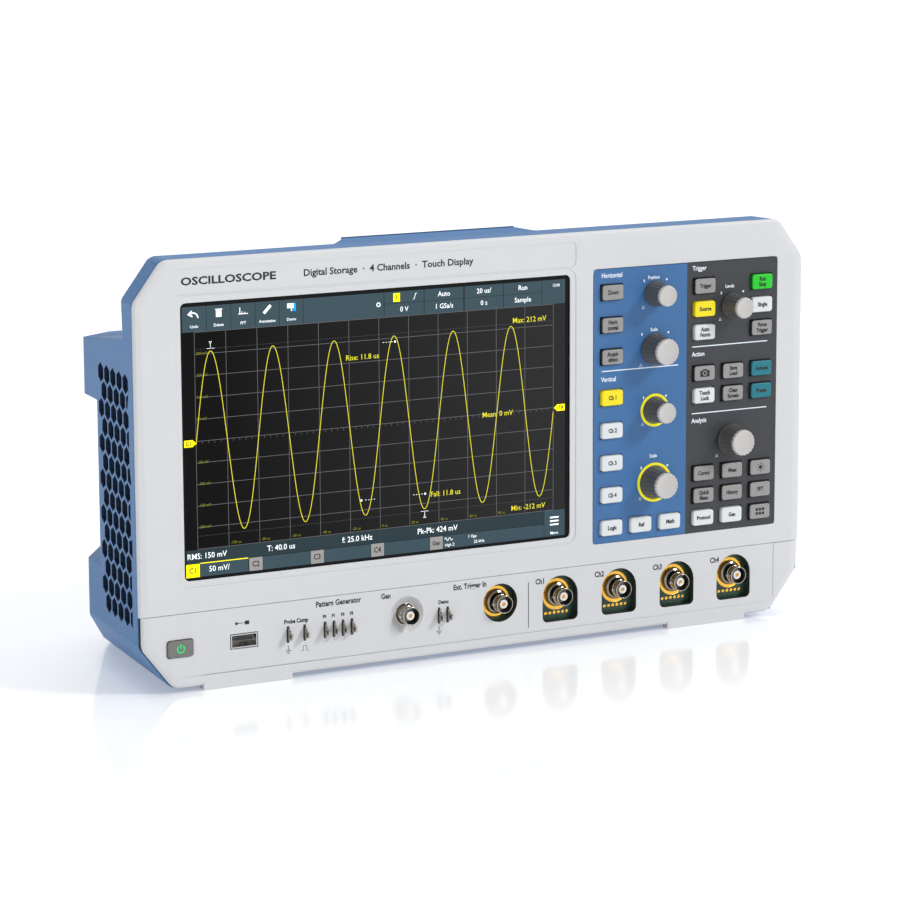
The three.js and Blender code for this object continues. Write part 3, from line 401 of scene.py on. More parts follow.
def makePiece(name, shape, finishNames, body="root", sharp=38):
    points, faces = shape
    mesh = bpy.data.meshes.new(name)
    mesh.from_pydata(points.tolist(), [], [row for rows, _ in faces for row in rows.tolist()])
    mesh.polygons.foreach_set("material_index", np.concatenate([inks for _, inks in faces]).astype(np.int32))
    mesh.shade_smooth()
    mesh.set_sharp_from_angle(angle=math.radians(sharp))
    for finishName in finishNames.split():
        mesh.materials.append(finish(finishName))
    piece = bpy.data.objects.new(name, mesh)
    bpy.context.scene.collection.objects.link(piece)
    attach(piece, body)
    return piece


# Lettering: rows of (words, x, y, capital height, "LEFT" or "CENTER", ink), as closed letters from w = low
# to high.
def letters(rows, low, high, bold=0.05, narrow=0.84):
    texts = []
    for words, x, y, height, align, ink in rows:
        curve = bpy.data.curves.new("letters", "FONT")
        curve.body = words
        curve.size = height / 0.72  # a capital's share of the type size
        curve.align_x = align
        curve.align_y = "CENTER"
        curve.extrude = (high - low) / 2
        curve.offset = bold
        curve.resolution_u = 2
        text = bpy.data.objects.new("letters", curve)
        bpy.context.scene.collection.objects.link(text)
        texts.append((text, x, y, ink))
    depsgraph = bpy.context.evaluated_depsgraph_get()
    shapes = []
    for text, x, y, ink in texts:
        flat = bpy.data.meshes.new_from_object(text.evaluated_get(depsgraph))
        work = bmesh.new()
        work.from_mesh(flat)
        bmesh.ops.remove_doubles(work, verts=work.verts, dist=0.0005)
        bmesh.ops.triangulate(work, faces=work.faces)
        work.to_mesh(flat)
        work.free()
        points = np.empty(len(flat.vertices) * 3, np.float32)
        flat.vertices.foreach_get("co", points)
        corners = np.empty(len(flat.loops), np.int32)
        flat.loops.foreach_get("vertex_index", corners)
        rows = corners.reshape(-1, 3)
        points = points.reshape(-1, 3) * [narrow, 1.0, 1.0] + [x, y, (low + high) / 2]
        shapes.append((points, [(rows, np.full(len(rows), ink))]))
        bpy.data.meshes.remove(flat)
        bpy.data.curves.remove(text.data)
    return joined(shapes)


def paint(node, finishName):
    mesh = frame["nodes"][node].data
    mesh.materials.clear()
    mesh.materials.append(finish(finishName))


# How two faces meet along each edge of a mesh: the edge's length and middle, the angle between the faces'
# normals, and whether they fold outwards: (centre of the second - centre of the first) . first normal < 0.
def edgeFolds(mesh):
    def read(items, key, width=1, kind=np.float32):
        values = np.empty(len(items) * width, kind)
        items.foreach_get(key, values)
        return values.reshape(-1, width) if width > 1 else values
    points = read(mesh.vertices, "co", 3).astype(float)
    ends = points[read(mesh.edges, "vertices", 2, np.int32)]
    normals, centres = read(mesh.polygons, "normal", 3), read(mesh.polygons, "center", 3)
    face = np.repeat(np.arange(len(mesh.polygons)), read(mesh.polygons, "loop_total", 1, np.int32))
    edge = read(mesh.loops, "edge_index", 1, np.int32)
    order = np.argsort(edge, kind="stable")
    first = np.searchsorted(edge[order], np.arange(len(mesh.edges)))
    one, other = face[order[first]], face[order[np.minimum(first + 1, len(order) - 1)]]
    angle = np.degrees(np.arccos(np.clip(np.sum(normals[one] * normals[other], 1), -1, 1)))
    outward = np.sum((centres[other] - centres[one]) * normals[one], 1) < 0
    return np.linalg.norm(ends[:, 1] - ends[:, 0], axis=1), ends.mean(1), angle, outward


# A CAD node's own form with its edges eased: the copy's triangles are merged, flat areas joined, and each
# long outward edge is rounded by a bevel, less near the front plane; other edges over the angle stay crisp.
def eased(node, name, form, finishName):
    mesh = frame["nodes"][node].data.copy()
    mesh.name = name
    work = bmesh.new()
    work.from_mesh(mesh)
    bmesh.ops.remove_doubles(work, verts=work.verts, dist=0.000002)
    bmesh.ops.dissolve_limit(work, angle_limit=math.radians(0.6), verts=work.verts, edges=work.edges)
    work.to_mesh(mesh)
    work.free()
    carried = mesh.attributes.get("custom_normal")  # the triangles' own normals, no longer true
    if carried:
        mesh.attributes.remove(carried)
    length, centre, angle, outward = edgeFolds(mesh)
    chosen = outward & (length > form["shortest"] * mm) & (angle > form["angle"])
    weight = np.where(centre[:, 1] < face + form["frontZone"] * mm, form["frontShare"], 1.0) * chosen
    mesh.attributes.new("bevel_weight_edge", "FLOAT", "EDGE").data.foreach_set("value",
                                                                               weight.astype(np.float32))
    mesh.shade_smooth()
    crisp = (angle > form["crisp"]) & ~chosen
    mesh.attributes.new("sharp_edge", "BOOLEAN", "EDGE").data.foreach_set("value", crisp)
    mesh.materials.clear()
    mesh.materials.append(finish(finishName))
    piece = bpy.data.objects.new(name, mesh)
    bpy.context.scene.collection.objects.link(piece)
    bevel = piece.modifiers.new("eased edges", "BEVEL")
    bevel.width = form["ease"] * mm
    bevel.segments = form["segments"]
    bevel.limit_method = "WEIGHT"
    bevel.use_clamp_overlap = False
    level = piece.modifiers.new("level faces", "WEIGHTED_NORMAL")  # large faces stay flat in the shading
    level.keep_sharp = True
    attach(piece, "root")
    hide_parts(node)
    return piece


def middle(node):
    low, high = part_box(node)
    return (low + high) / 2


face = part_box("control_panel")[0].y  # the front plane
makeStudio()
print("studio made")

# The two bezels and the shell. Sizes in millimetres, angles in degrees.
bezelForm = dict(ease=0.22, segments=2, angle=12, crisp=12, shortest=4.0, frontZone=0.0, frontShare=1.0)
shellForm = dict(ease=2.2, segments=4, angle=24, crisp=24, shortest=7.0, frontZone=8.0, frontShare=0.2)
eased("front_bezel", "display_bezel", bezelForm, "bezelPlastic")
socketBezel = eased("connector_bezel", "socket_bezel", bezelForm, "bezelPlastic")
caseShell = eased("rear_shell", "case_shell", shellForm, "shellPlastic")


def facePlaces(mesh):  # the centre and normal of each face
    centre, normal = np.empty((2, len(mesh.polygons) * 3), np.float32)
    mesh.polygons.foreach_get("center", centre)
    mesh.polygons.foreach_get("normal", normal)
    return centre.reshape(-1, 3), normal.reshape(-1, 3)


# Painted shade on hole walls: in the socket cutouts the faces that don't look along y, in the side vents
# those that don't look along x, take dark finishes that stand in for the shade inside the holes.
def paintShadeInHoles():
    centre, normal = facePlaces(socketBezel.data)
    inside = np.zeros(len(centre), bool)
    for node in [n for n in frame["nodes"] if n.endswith("_socket") and n != "generator_socket"]:
        at = middle(node)
        inside |= (np.abs(centre[:, 0] - at.x) < 11.2 * mm) & (np.abs(centre[:, 2] - at.z) < 14 * mm)
    inside &= (np.abs(normal[:, 1]) < 0.5) & (centre[:, 1] > face + 0.2 * mm)
    socketBezel.data.materials.append(finish("cutoutWall"))
    socketBezel.data.polygons.foreach_set("material_index", inside.astype(np.int32))
    centre, normal = facePlaces(caseShell.data)
    inside = (np.abs(centre[:, 0]) > cadBox[1][0] - 17 * mm) & (np.abs(normal[:, 0]) < 0.6)
    inside &= (centre[:, 1] > face + 9 * mm) & (centre[:, 1] < face + 82 * mm)
    inside &= np.abs(centre[:, 2] - 0.095) < 0.072
    caseShell.data.materials.append(finish("paintedShadeVentWall"))
    caseShell.data.polygons.foreach_set("material_index", inside.astype(np.int32))


# Black sheets close behind the side vents, painted shade standing in for the dark inside of the case;
# from (y, inset from the case's side) at the front to the same at the back.
ventShadeSheetForm = dict(front=(9.0, 7.4), back=(61.0, 12.7), low=14.0, high=166.0, thickness=0.5)


def makeVentShadeSheets():
    (frontY, frontIn), (backY, backIn) = ventShadeSheetForm["front"], ventShadeSheetForm["back"]
    thick = ventShadeSheetForm["thickness"]
    outline = np.array([(frontIn, frontY), (frontIn + thick, frontY), (backIn + thick, backY),
                        (backIn, backY)])
    rings = np.stack([np.c_[outline, np.full(4, level)] for level in (ventShadeSheetForm["low"], ventShadeSheetForm["high"])])
    corner = np.array([cadBox[0][0], face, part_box("rear_shell")[0].z + 2.5 * mm])
    left = placed(stack(rings), corner, asDrawn)
    mirrored = rings[:, ::-1] * [-1, 1, 1]
    right = placed(stack(mirrored), (cadBox[1][0], corner[1], corner[2]), asDrawn)
    makePiece("vent_shade_sheets", joined([left, right]), "blackPlastic")


paintShadeInHoles()
makeVentShadeSheets()
print("housing made")

# Keys: a rounded-edge cap with a faint crown on its flange.
keyForm = dict(flange=0.9, flangeDepth=1.2, radius=1.5, edge=0.75, crown=0.07, faceStart=2, proudOfFace=0.03)
keyLegends = dict(  # name: (finish of the sides, finish of the face, lines of the legend)
    zoom=("darkRubber", "greyPrint", ["Zoom"]),
    horizontal=("darkRubber", "greyPrint", ["Hori-", "zontal"]),
    acquire=("darkRubber", "greyPrint", ["Acqui-", "sition"]),
    channel_1=("yellowKeyRubber", "yellowKeyRubber", ["Ch 1"]),
    channel_2=("whiteKeyRubber", "whiteKeyRubber", ["Ch 2"]),
    channel_3=("whiteKeyRubber", "whiteKeyRubber", ["Ch 3"]),
    channel_4=("whiteKeyRubber", "whiteKeyRubber", ["Ch 4"]),
    logic=("whiteKeyRubber", "whiteKeyRubber", ["Logic"]),
    reference=("whiteKeyRubber", "whiteKeyRubber", ["Ref"]),
    math=("whiteKeyRubber", "whiteKeyRubber", ["Math"]),
    trigger=("darkRubber", "greyPrint", ["Trigger"]),
    run_stop=("greenSide", "greenKeyRubber", ["Run", "Stop"]),
    source=("yellowKeyRubber", "yellowKeyRubber", ["Source"]),
    single=("whiteKeyRubber", "whiteKeyRubber", ["Single"]),
    auto_norm=("whiteKeyRubber", "whiteKeyRubber", ["Auto", "Norm"]),
    force_trigger=("darkRubber", "greyPrint", ["Force", "Trigger"]),
    camera=("darkRubber", "greyPrint", []),
    save_load=("darkRubber", "greyPrint", ["Save", "Load"]),
    autoset=("tealSide", "tealKeyRubber", ["Autoset"]),
    touch_lock=("whiteKeyRubber", "whiteKeyRubber", ["Touch", "Lock"]),
    clear_screen=("darkRubber", "greyPrint", ["Clear", "Screen"]),
    preset=("tealSide", "tealKeyRubber", ["Preset"]),
    cursor=("darkRubber", "greyPrint", ["Cursor"]),
    measure=("darkRubber", "greyPrint", ["Meas"]),
    intensity=("darkRubber", "greyPrint", []),
    quick_measure=("darkRubber", "greyPrint", ["Quick", "Meas"]),
    history=("darkRubber", "greyPrint", ["History"]),
    spectrum=("darkRubber", "greyPrint", ["FFT"]),
    protocol=("whiteKeyRubber", "whiteKeyRubber", ["Protocol"]),
    generator=("whiteKeyRubber", "whiteKeyRubber", ["Gen"]),
    apps=("darkRubber", "greyPrint", []),
)


# Cap: up the sides, round the edge by inset = e (1 - cos a), w = top - e (1 - sin a), then the crowned face.
def capShape(width, height, top, back, form):
    edge, radius = form["edge"], form["radius"]
    flangeWidth, flangeHeight = width + 2 * form["flange"], height + 2 * form["flange"]
    turn = np.radians([0, 22, 45, 68, 90])
    inset = np.concatenate([edge * (1 - np.cos(turn)), np.linspace(edge + 0.5, height * 0.42, 3)])
    rise = np.concatenate([edge * (1 - np.sin(turn)) + form["crown"], np.linspace(0.8, 0, 3) * form["crown"]])
    rows = [(flangeWidth, flangeHeight, radius, back),
            (flangeWidth, flangeHeight, radius, back + form["flangeDepth"]),
            (width, height, radius, back + form["flangeDepth"])]
    rows += [(width - 2 * i, height - 2 * i, max(radius - i, 0.25), top - r) for i, r in zip(inset, rise)]
    inks = [0] * (3 + form["faceStart"]) + [1] * (len(rows) - 4 - form["faceStart"])
    return stack(roundedRings(rows), inks)


# Icons on three of the keys: bars, discs and rings on the face.
def cameraIcon(low, high):
    body = slabs([(-2.9, -1.9, 2.9, 1.5), (-1.2, 1.5, 1.2, 2.2)], low, high)
    lens = stack(turnedRings([(1.35, low), (1.35, high + 0.02), (0.85, high + 0.02), (0.85, low)], 24),
                 loop=True)
    return joined([body, inked(lens, 1)])


def sunIcon(low, high):
    disc = stack(turnedRings([(1.1, low), (1.1, high)], 20))
    turn = np.arange(8) * np.pi / 4
    rays = [ribbon(np.outer([1.6, 2.5], [math.cos(t), math.sin(t)]), 0.35, low, high) for t in turn]
    return joined([disc, *rays])


def gridIcon(low, high):
    across, up = np.meshgrid([-2.0, 0.0, 2.0], [-1.1, 1.1])
    x, y = across.ravel(), up.ravel()
    return slabs(np.stack([x - 0.75, y - 0.75, x + 0.75, y + 0.75], -1), low, high)


keyIcons = dict(camera=cameraIcon, intensity=sunIcon, apps=gridIcon)


def makeKeys():
    form = keyForm
    for name, (side, top, lines) in keyLegends.items():
        node = name + "_key"
        low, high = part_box(node)
        at = (middle(node).x, face, middle(node).z)
        width, height = [(high[k] - low[k]) / mm - 2 * form["flange"] for k in (0, 2)]
        proud, back = (face - low.y) / mm, (face - high.y) / mm
        cap = makePiece(node + "_cap", placed(capShape(width, height, proud, back, form), at),
                        side + " " + top, node)
        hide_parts(node)
        base, over = proud - form["crown"] - 0.06, proud + form["proudOfFace"]
        if lines:
            size = 2.2 if len(max(lines, key=len)) < 7 else 2.05
            gap = 1.45 * (len(lines) - 1)
            rows = [(words, 0, gap - 2 * gap * n if gap else 0, size, "CENTER", 0) for n,
                    words in enumerate(lines)]
            legend = letters(rows, base, over, 0.13)
        else:
            legend = keyIcons[name](base, over)
        makePiece(node + "_legend", placed(legend, at), "blackInk greyPrint", node)


makeKeys()
print("keys made")

# Knobs: a dark waisted body and a light fluted cap with a dished face.
knobForm = dict(flutes=20, fluteDepth=0.4, capLength=1.7, steps=160, skirt=0.35)
knobs = [n for n in frame["nodes"] if n.endswith("_knob")]


# Body and cap radii fall from skirt to face in a smooth curve: r = face + (base - face) (1 - s)^1.6, s from
# 0 to 1.
def knobShapes(base, top, start, shaftRadius, shaftBack, form):
    reach, split = -top, -top - form["capLength"]
    share = np.linspace(0, 1, 9)
    bodyOut = start + (split - start) * share
    radiusAt = lambda out: facing + (base - facing) * (1 - (out - start) / (reach - start)) ** 2.2
    facing = base * 0.81
    body = [(shaftRadius, shaftBack), (shaftRadius, start), (base - form["skirt"], start),
            (base, start + 0.3)]
    body += [(radiusAt(out), out) for out in bodyOut[1:]] + [(radiusAt(split) - 0.45, split)]
    flute = np.array([0, 0, 0, 0] + [form["fluteDepth"] * 0.6] * 8 + [0])
    cap = [(radiusAt(split) - 0.45, split - 0.3), (radiusAt(split) - 0.05, split),
           (radiusAt(split + 0.2) + 0.05, split + 0.2)]
    cap += [(radiusAt(out) + 0.05, out) for out in np.linspace(split + 1, reach - 0.7, 4)]
    cap += [(facing - 0.1, reach - 0.35), (facing - 0.35, reach - 0.1), (facing - 0.7, reach)]
    cap += [(facing - 1.1, reach - 0.02), (facing - 1.5, reach - 0.22), (facing * 0.4, reach - 0.3),
            (0.4, reach - 0.32)]
    capFlute = np.array([0, 0.5, 1, 1, 1, 1, 1, 0.9, 0.6, 0.25, 0, 0, 0, 0]) * form["fluteDepth"]
    return (stack(turnedRings(body, form["steps"], form["flutes"], flute), 0),
            stack(turnedRings(cap, form["steps"], form["flutes"], capFlute), 1))


def makeKnobs():
    for node in knobs:
        low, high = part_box(node)
        at = (middle(node).x, face, middle(node).z)
        base = (high.x - low.x) / 2 / mm
        top = (low.y - face) / mm
        shapes = knobShapes(base, top, 0.6, 3.0, (face - high.y) / mm, knobForm)
        knob = makePiece(node + "_grip", placed(joined(shapes), at), "knobBody knobCap", node, 50)
        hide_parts(node)


makeKnobs()
print("knobs made")

# Control panel: two-colour print, lit rings, separators, headings and scale marks.
panelLow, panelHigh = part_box("control_panel")
panelWidth, panelHeight = (panelHigh.x - panelLow.x) / mm, (panelHigh.z - panelLow.z) / mm
panelPrint = dict(
    split=57.2, inkHeight=0.04, filmHeight=0.05, rule=0.55,
    rules=[(5.0, 91.7, 52.0), (60.8, 100.5, 108.2), (60.8, 64.6, 108.2)],  # left, height, right
    headings=[("Horizontal", 4.6, 142.0, 2.5), ("Vertical", 4.6, 87.2, 2.5), ("Trigger", 60.6, 142.3, 2.5),
              ("Action", 60.6, 96.4, 2.5), ("Analysis", 60.6, 60.6, 2.5)],
    labels=[("Position", 36.6, 139.3, 1.9), ("Scale", 36.9, 111.7, 1.9), ("Scale", 36.9, 44.1, 1.9),
            ("Levels", 84.0, 131.6, 1.9)],
)
regions["panelPrint"] = ("X", panelLow.x + panelPrint["split"] * mm, 0.00002, (60, 62, 66))
paint("control_panel", "panelPrint")


def knobAlong(node):  # a knob's place on the panel, in millimetres from its lower left corner
    at = middle(node)
    return (at.x - panelLow.x) / mm, (at.z - panelLow.z) / mm


def makePanelPrint():
    ink, low = panelPrint["inkHeight"], -0.02
    half = panelPrint["rule"] / 2
    shapes = [slabs([(left, up - half, right, up + half) for left, up, right in panelPrint["rules"]], low,
                    ink)]
    rows = [(words, x, y, size, "LEFT", 0) for words, x, y, size in panelPrint["headings"]]
    rows += [(words, x, y, size, "CENTER", 0) for words, x, y, size in panelPrint["labels"]]
    shapes.append(letters(rows, low, ink, 0.07))
    for node in knobs:  # turn marks beside each knob: a dot, a bar and a push mark
        x, y = knobAlong(node)
        reach = (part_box(node)[1].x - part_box(node)[0].x) / 2 / mm + 2.6
        dot = stack(turnedRings([(0.6, low), (0.6, ink)], 16))
        if node != "analysis_knob":
            shapes.append(shifted(dot, x + reach * 0.72, y + reach * 0.74))
            shapes.append(slabs([(x - reach * 0.72 - 0.35, y + reach * 0.74 - 0.7,
                                  x - reach * 0.72 + 0.35, y + reach * 0.74 + 0.7)], low, ink))
        push = ribbon([(-0.8, -0.7), (0.8, -0.7), (0.0, 0.7)], 0.35, low, ink, closed=True)
        shapes.append(shifted(push, x - reach * 0.78, y - reach * 0.72))
    makePiece("panel_print", placed(joined(shapes), (panelLow.x, face, panelLow.z)), "whiteInkPaintedGlow")
    edge, high = 1.2, panelPrint["filmHeight"]
    film = slabs([(0, 0, edge, panelHeight), (panelWidth - edge, 0, panelWidth, panelHeight),
                  (edge, 0, panelWidth - edge, edge),
                  (edge, panelHeight - edge, panelWidth - edge, panelHeight)], -0.01, high)
    makePiece("panel_film", placed(film, (panelLow.x, face, panelLow.z)), "panelPrint")
    for node, inner, outer in (("vertical_position_knob", 7.3, 8.8), ("vertical_scale_knob", 9.0, 10.5)):
        ring = turnedRings([(outer, -0.3), (outer, 0.25), (outer - 0.15, 0.38), (inner + 0.15, 0.38),
                            (inner, 0.25), (inner, -0.3)], 72)
        at = middle(node)
        makePiece(node.replace("_knob", "_ring"), placed(stack(ring, loop=True), (at.x, face, at.z)),
                  "ringLight")


makePanelPrint()
print("panel made")

# Coaxial sockets: a thin-walled barrel with a groove and two lugs, white insulator and gold contact.
socketForm = dict(
    barrel=[(4.8, -11), (4.8, -6.3), (6.1, -6.2), (6.2, -6.0), (6.2, -3.2), (6.05, -3.0), (5.2, -2.95),
            (4.95, -2.7),
            (4.8, -2.4), (4.8, 0.6), (4.72, 0.7), (4.45, 0.8), (4.4, 1.0), (4.4, 2.4), (4.45, 2.6),
            (4.72, 2.75),
            (4.8, 2.9), (4.8, 4.6), (4.72, 4.88), (4.55, 5.0), (4.35, 4.97), (4.2, 4.8), (4.1, 4.4),
            (4.05, -0.9),
            (3.9, -1.0)],
    insulator=[(4.02, -1.05), (4.02, -0.75), (2.6, -0.7), (2.4, -0.5), (2.35, 3.4), (2.2, 3.6), (1.1, 3.62),
               (0.95, 3.2)],
    contact=[(0.9, 0), (0.9, 3.6), (0.8, 3.85), (0.62, 3.9), (0.5, 3.7), (0.48, 2.2)],
    lug=[(0.95, -0.6), (0.95, 0.7), (0.8, 0.98), (0.55, 1.08)],
    lugAt=1.6,
)


def socketShapes(form):
    # Collar and bore take the darker metals, painted shade; the barrel is bright nickel.
    inks = [3] * 9 + [0] * 11 + [4] * (len(form["barrel"]) - 21)  # dark collar, bright barrel, dark bore
    barrel = stack(turnedRings(form["barrel"], 64), inks)
    insulator = stack(turnedRings(form["insulator"], 48), 1)
    contact = stack(turnedRings(form["contact"], 24), 2)
    return [barrel, insulator, contact]


def makeSockets():
    form = socketForm
    sockets = [n for n in frame["nodes"] if n.endswith("_socket")]
    for node in sockets:
        at = Vector((middle(node).x, face, middle(node).z))
        shapes = [placed(shape, at) for shape in socketShapes(form)]
        reach = 4.8 * mm
        pin = stack(turnedRings(form["lug"], 16), 0)
        for side, turn in ((1, towardsRight), (-1, towardsLeft)):
            shapes.append(placed(pin, (at.x + side * reach, face - form["lugAt"] * mm, at.z), turn))
        socket = makePiece(node + "_barrel", joined(shapes), "nickel dielectric gold socketMetal boreMetal",
                           sharp=50)
        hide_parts(node)
        if node.startswith("channel") or node.startswith("external"):
            makeGoldRing(node, at)


# Gold ring round each board socket, and a channel's row of six contact pads.
ringForm = dict(outer=8.5, inner=6.5, thickness=0.18, pads=6, padPitch=2.6, padDrop=10.0, padSize=1.7)


def makeGoldRing(node, at):
    form = ringForm
    depth = (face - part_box("input_board")[0].y) / mm
    outer, inner, over = form["outer"], form["inner"], depth + form["thickness"]
    rows = [(outer, depth - 0.1), (outer, over - 0.05), (outer - 0.08, over), (inner + 0.08, over),
            (inner, over - 0.05), (inner, depth - 0.1)]
    shapes = [stack(turnedRings(rows, 64), loop=True)]
    if node.startswith("channel"):
        along = (np.arange(form["pads"]) - (form["pads"] - 1) / 2) * form["padPitch"]
        size = form["padSize"]
        pad = stack(roundedRings([(size, size, 0.6, depth - 0.1), (size, size, 0.6, over),
                                  (size - 0.5, size - 0.5, 0.35, over + 0.12)]))
        shapes += [shifted(pad, x, -form["padDrop"]) for x in along]
    makePiece(node.replace("socket", "contacts"), placed(joined(shapes), at), "gold")


makeSockets()
print("sockets made")

# Glass and the picture behind it, drawn in millimetres from the opening's lower left corner.
glassLow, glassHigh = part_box("touch_glass")
glassLap = 3.0
screenAt = (glassLow.x + glassLap * mm, glassLow.y, glassLow.z + glassLap * mm)
picture = dict(
    left=1.3, right=217.8, bottom=1.5, top=136.7, paintedReflectionFrom=20, paintedReflectionTo=200,
    gridLeft=7.75, gridBottom=15.5, across=16.92, up=10.85, columns=12, rows=10,
    barBottom=124.2, boxes=[112.4, 135.25, 158.4, 181.25, 204.0], split=130.7,
    wavePeriod=33.85, waveMiddle=68.9, waveHeight=45.3, waveStart=109.4, traceWidth=0.36,
    channels=[1.25, 35.6, 69.75, 103.9, 137.9], channelTop=8.2, channelWidth=7.3,
)


def traceShape(low, high):  # y = middle + height sin(2 pi (x - start) / period)
    p = picture
    x = np.linspace(p["gridLeft"], p["gridLeft"] + p["columns"] * p["across"], 721)
    y = p["waveMiddle"] + p["waveHeight"] * np.sin(2 * np.pi * (x - p["waveStart"]) / p["wavePeriod"])
    return ribbon(np.stack([x, y], -1), p["traceWidth"], low, high)


def gridShape(low, high):
    p, half = picture, 0.11
    right, top = p["gridLeft"] + p["columns"] * p["across"], p["gridBottom"] + p["rows"] * p["up"]
    x = p["gridLeft"] + np.arange(p["columns"] + 1) * p["across"]
    y = p["gridBottom"] + np.arange(p["rows"] + 1) * p["up"]
    upright = np.stack([x - half, x * 0 + p["gridBottom"], x + half, x * 0 + top], -1)
    level = np.stack([y * 0 + p["gridLeft"], y - half, y * 0 + right, y + half], -1)
    ticks = p["gridLeft"] + np.arange(p["columns"] * 5) * p["across"] / 5
    marks = np.stack([ticks - 0.08, ticks * 0 + p["waveMiddle"] - 0.6, ticks + 0.08,
                      ticks * 0 + p["waveMiddle"] + 0.6], -1)
    dashes = np.arange(0, right - p["gridLeft"], 1.6) + p["gridLeft"]
    dashed = [np.stack([dashes, dashes * 0 + v, dashes + 0.7, dashes * 0 + v + 0.14], -1)
              for v in (p["waveMiddle"] + p["waveHeight"] + 1.2, p["waveMiddle"] - p["waveHeight"] - 1.6)]
    return slabs(np.concatenate([upright, level, marks, *dashed]), low, high)


def flag(left, middleHeight, point, low, high):  # a label with one pointed end
    width, half = 4.6, 1.75
    tip = left + (width + 1.9 if point > 0 else -1.9)
    outline = [(left, middleHeight - half), (left + width, middleHeight - half),
               (left + width, middleHeight + half),
               (left, middleHeight + half)]
    outline.insert(2 if point > 0 else 4, (tip, middleHeight))
    ring = np.array(outline, float)
    rings = np.stack([np.c_[ring, np.full(len(ring), level)] for level in (low, high)])
    return stack(rings)


# Small bar icons of the five tools: an arrow, a bin, a spectrum, a pencil and a pointer board.
def toolIcons(low, high):
    x = picture["left"] + (np.arange(5) + 0.5) * 13.2
    y = picture["barBottom"] + 8.6
    arc = np.radians(np.linspace(0, 130, 12))
    arrow = ribbon(np.stack([x[0] - 0.6 + 2.6 * np.cos(arc), y - 1.8 + 2.6 * np.sin(arc)], -1), 0.7, low,
                   high)
    tip = ribbon([(x[0] - 1.2, y + 1.8), (x[0] - 3.3, y + 0.2), (x[0] - 0.9, y - 0.9)], 0.8, low, high)
    wasteBin = slabs([(x[1] - 1.5, y - 2.0, x[1] + 1.5, y + 1.2),
                      (x[1] - 1.9, y + 1.5, x[1] + 1.9, y + 2.0)], low, high)
    bars = slabs([(x[2] - 2.6, y - 1.6, x[2] + 2.6, y - 1.2), (x[2] - 2.0, y - 1.2, x[2] - 1.6, y + 1.8),
                  (x[2] - 0.8, y - 1.2, x[2] - 0.5, y - 0.2), (x[2] + 0.7, y - 1.2, x[2] + 1.0, y - 0.5)],
                 low, high)
    pencil = ribbon([(x[3] - 2.0, y - 2.0), (x[3] + 1.8, y + 1.8)], 1.5, low, high)
    board = slabs([(x[4] - 2.4, y - 0.4, x[4] + 1.2, y + 2.0), (x[4] - 0.3, y - 1.9, x[4] + 0.2, y - 0.4)],
                  low, high)
    pointer = inked(slabs([(x[4] + 0.6, y - 1.9, x[4] + 2.4, y + 2.0)], low, high - 0.004), 1)
    return joined([arrow, tip, wasteBin, bars, pencil, board, pointer])


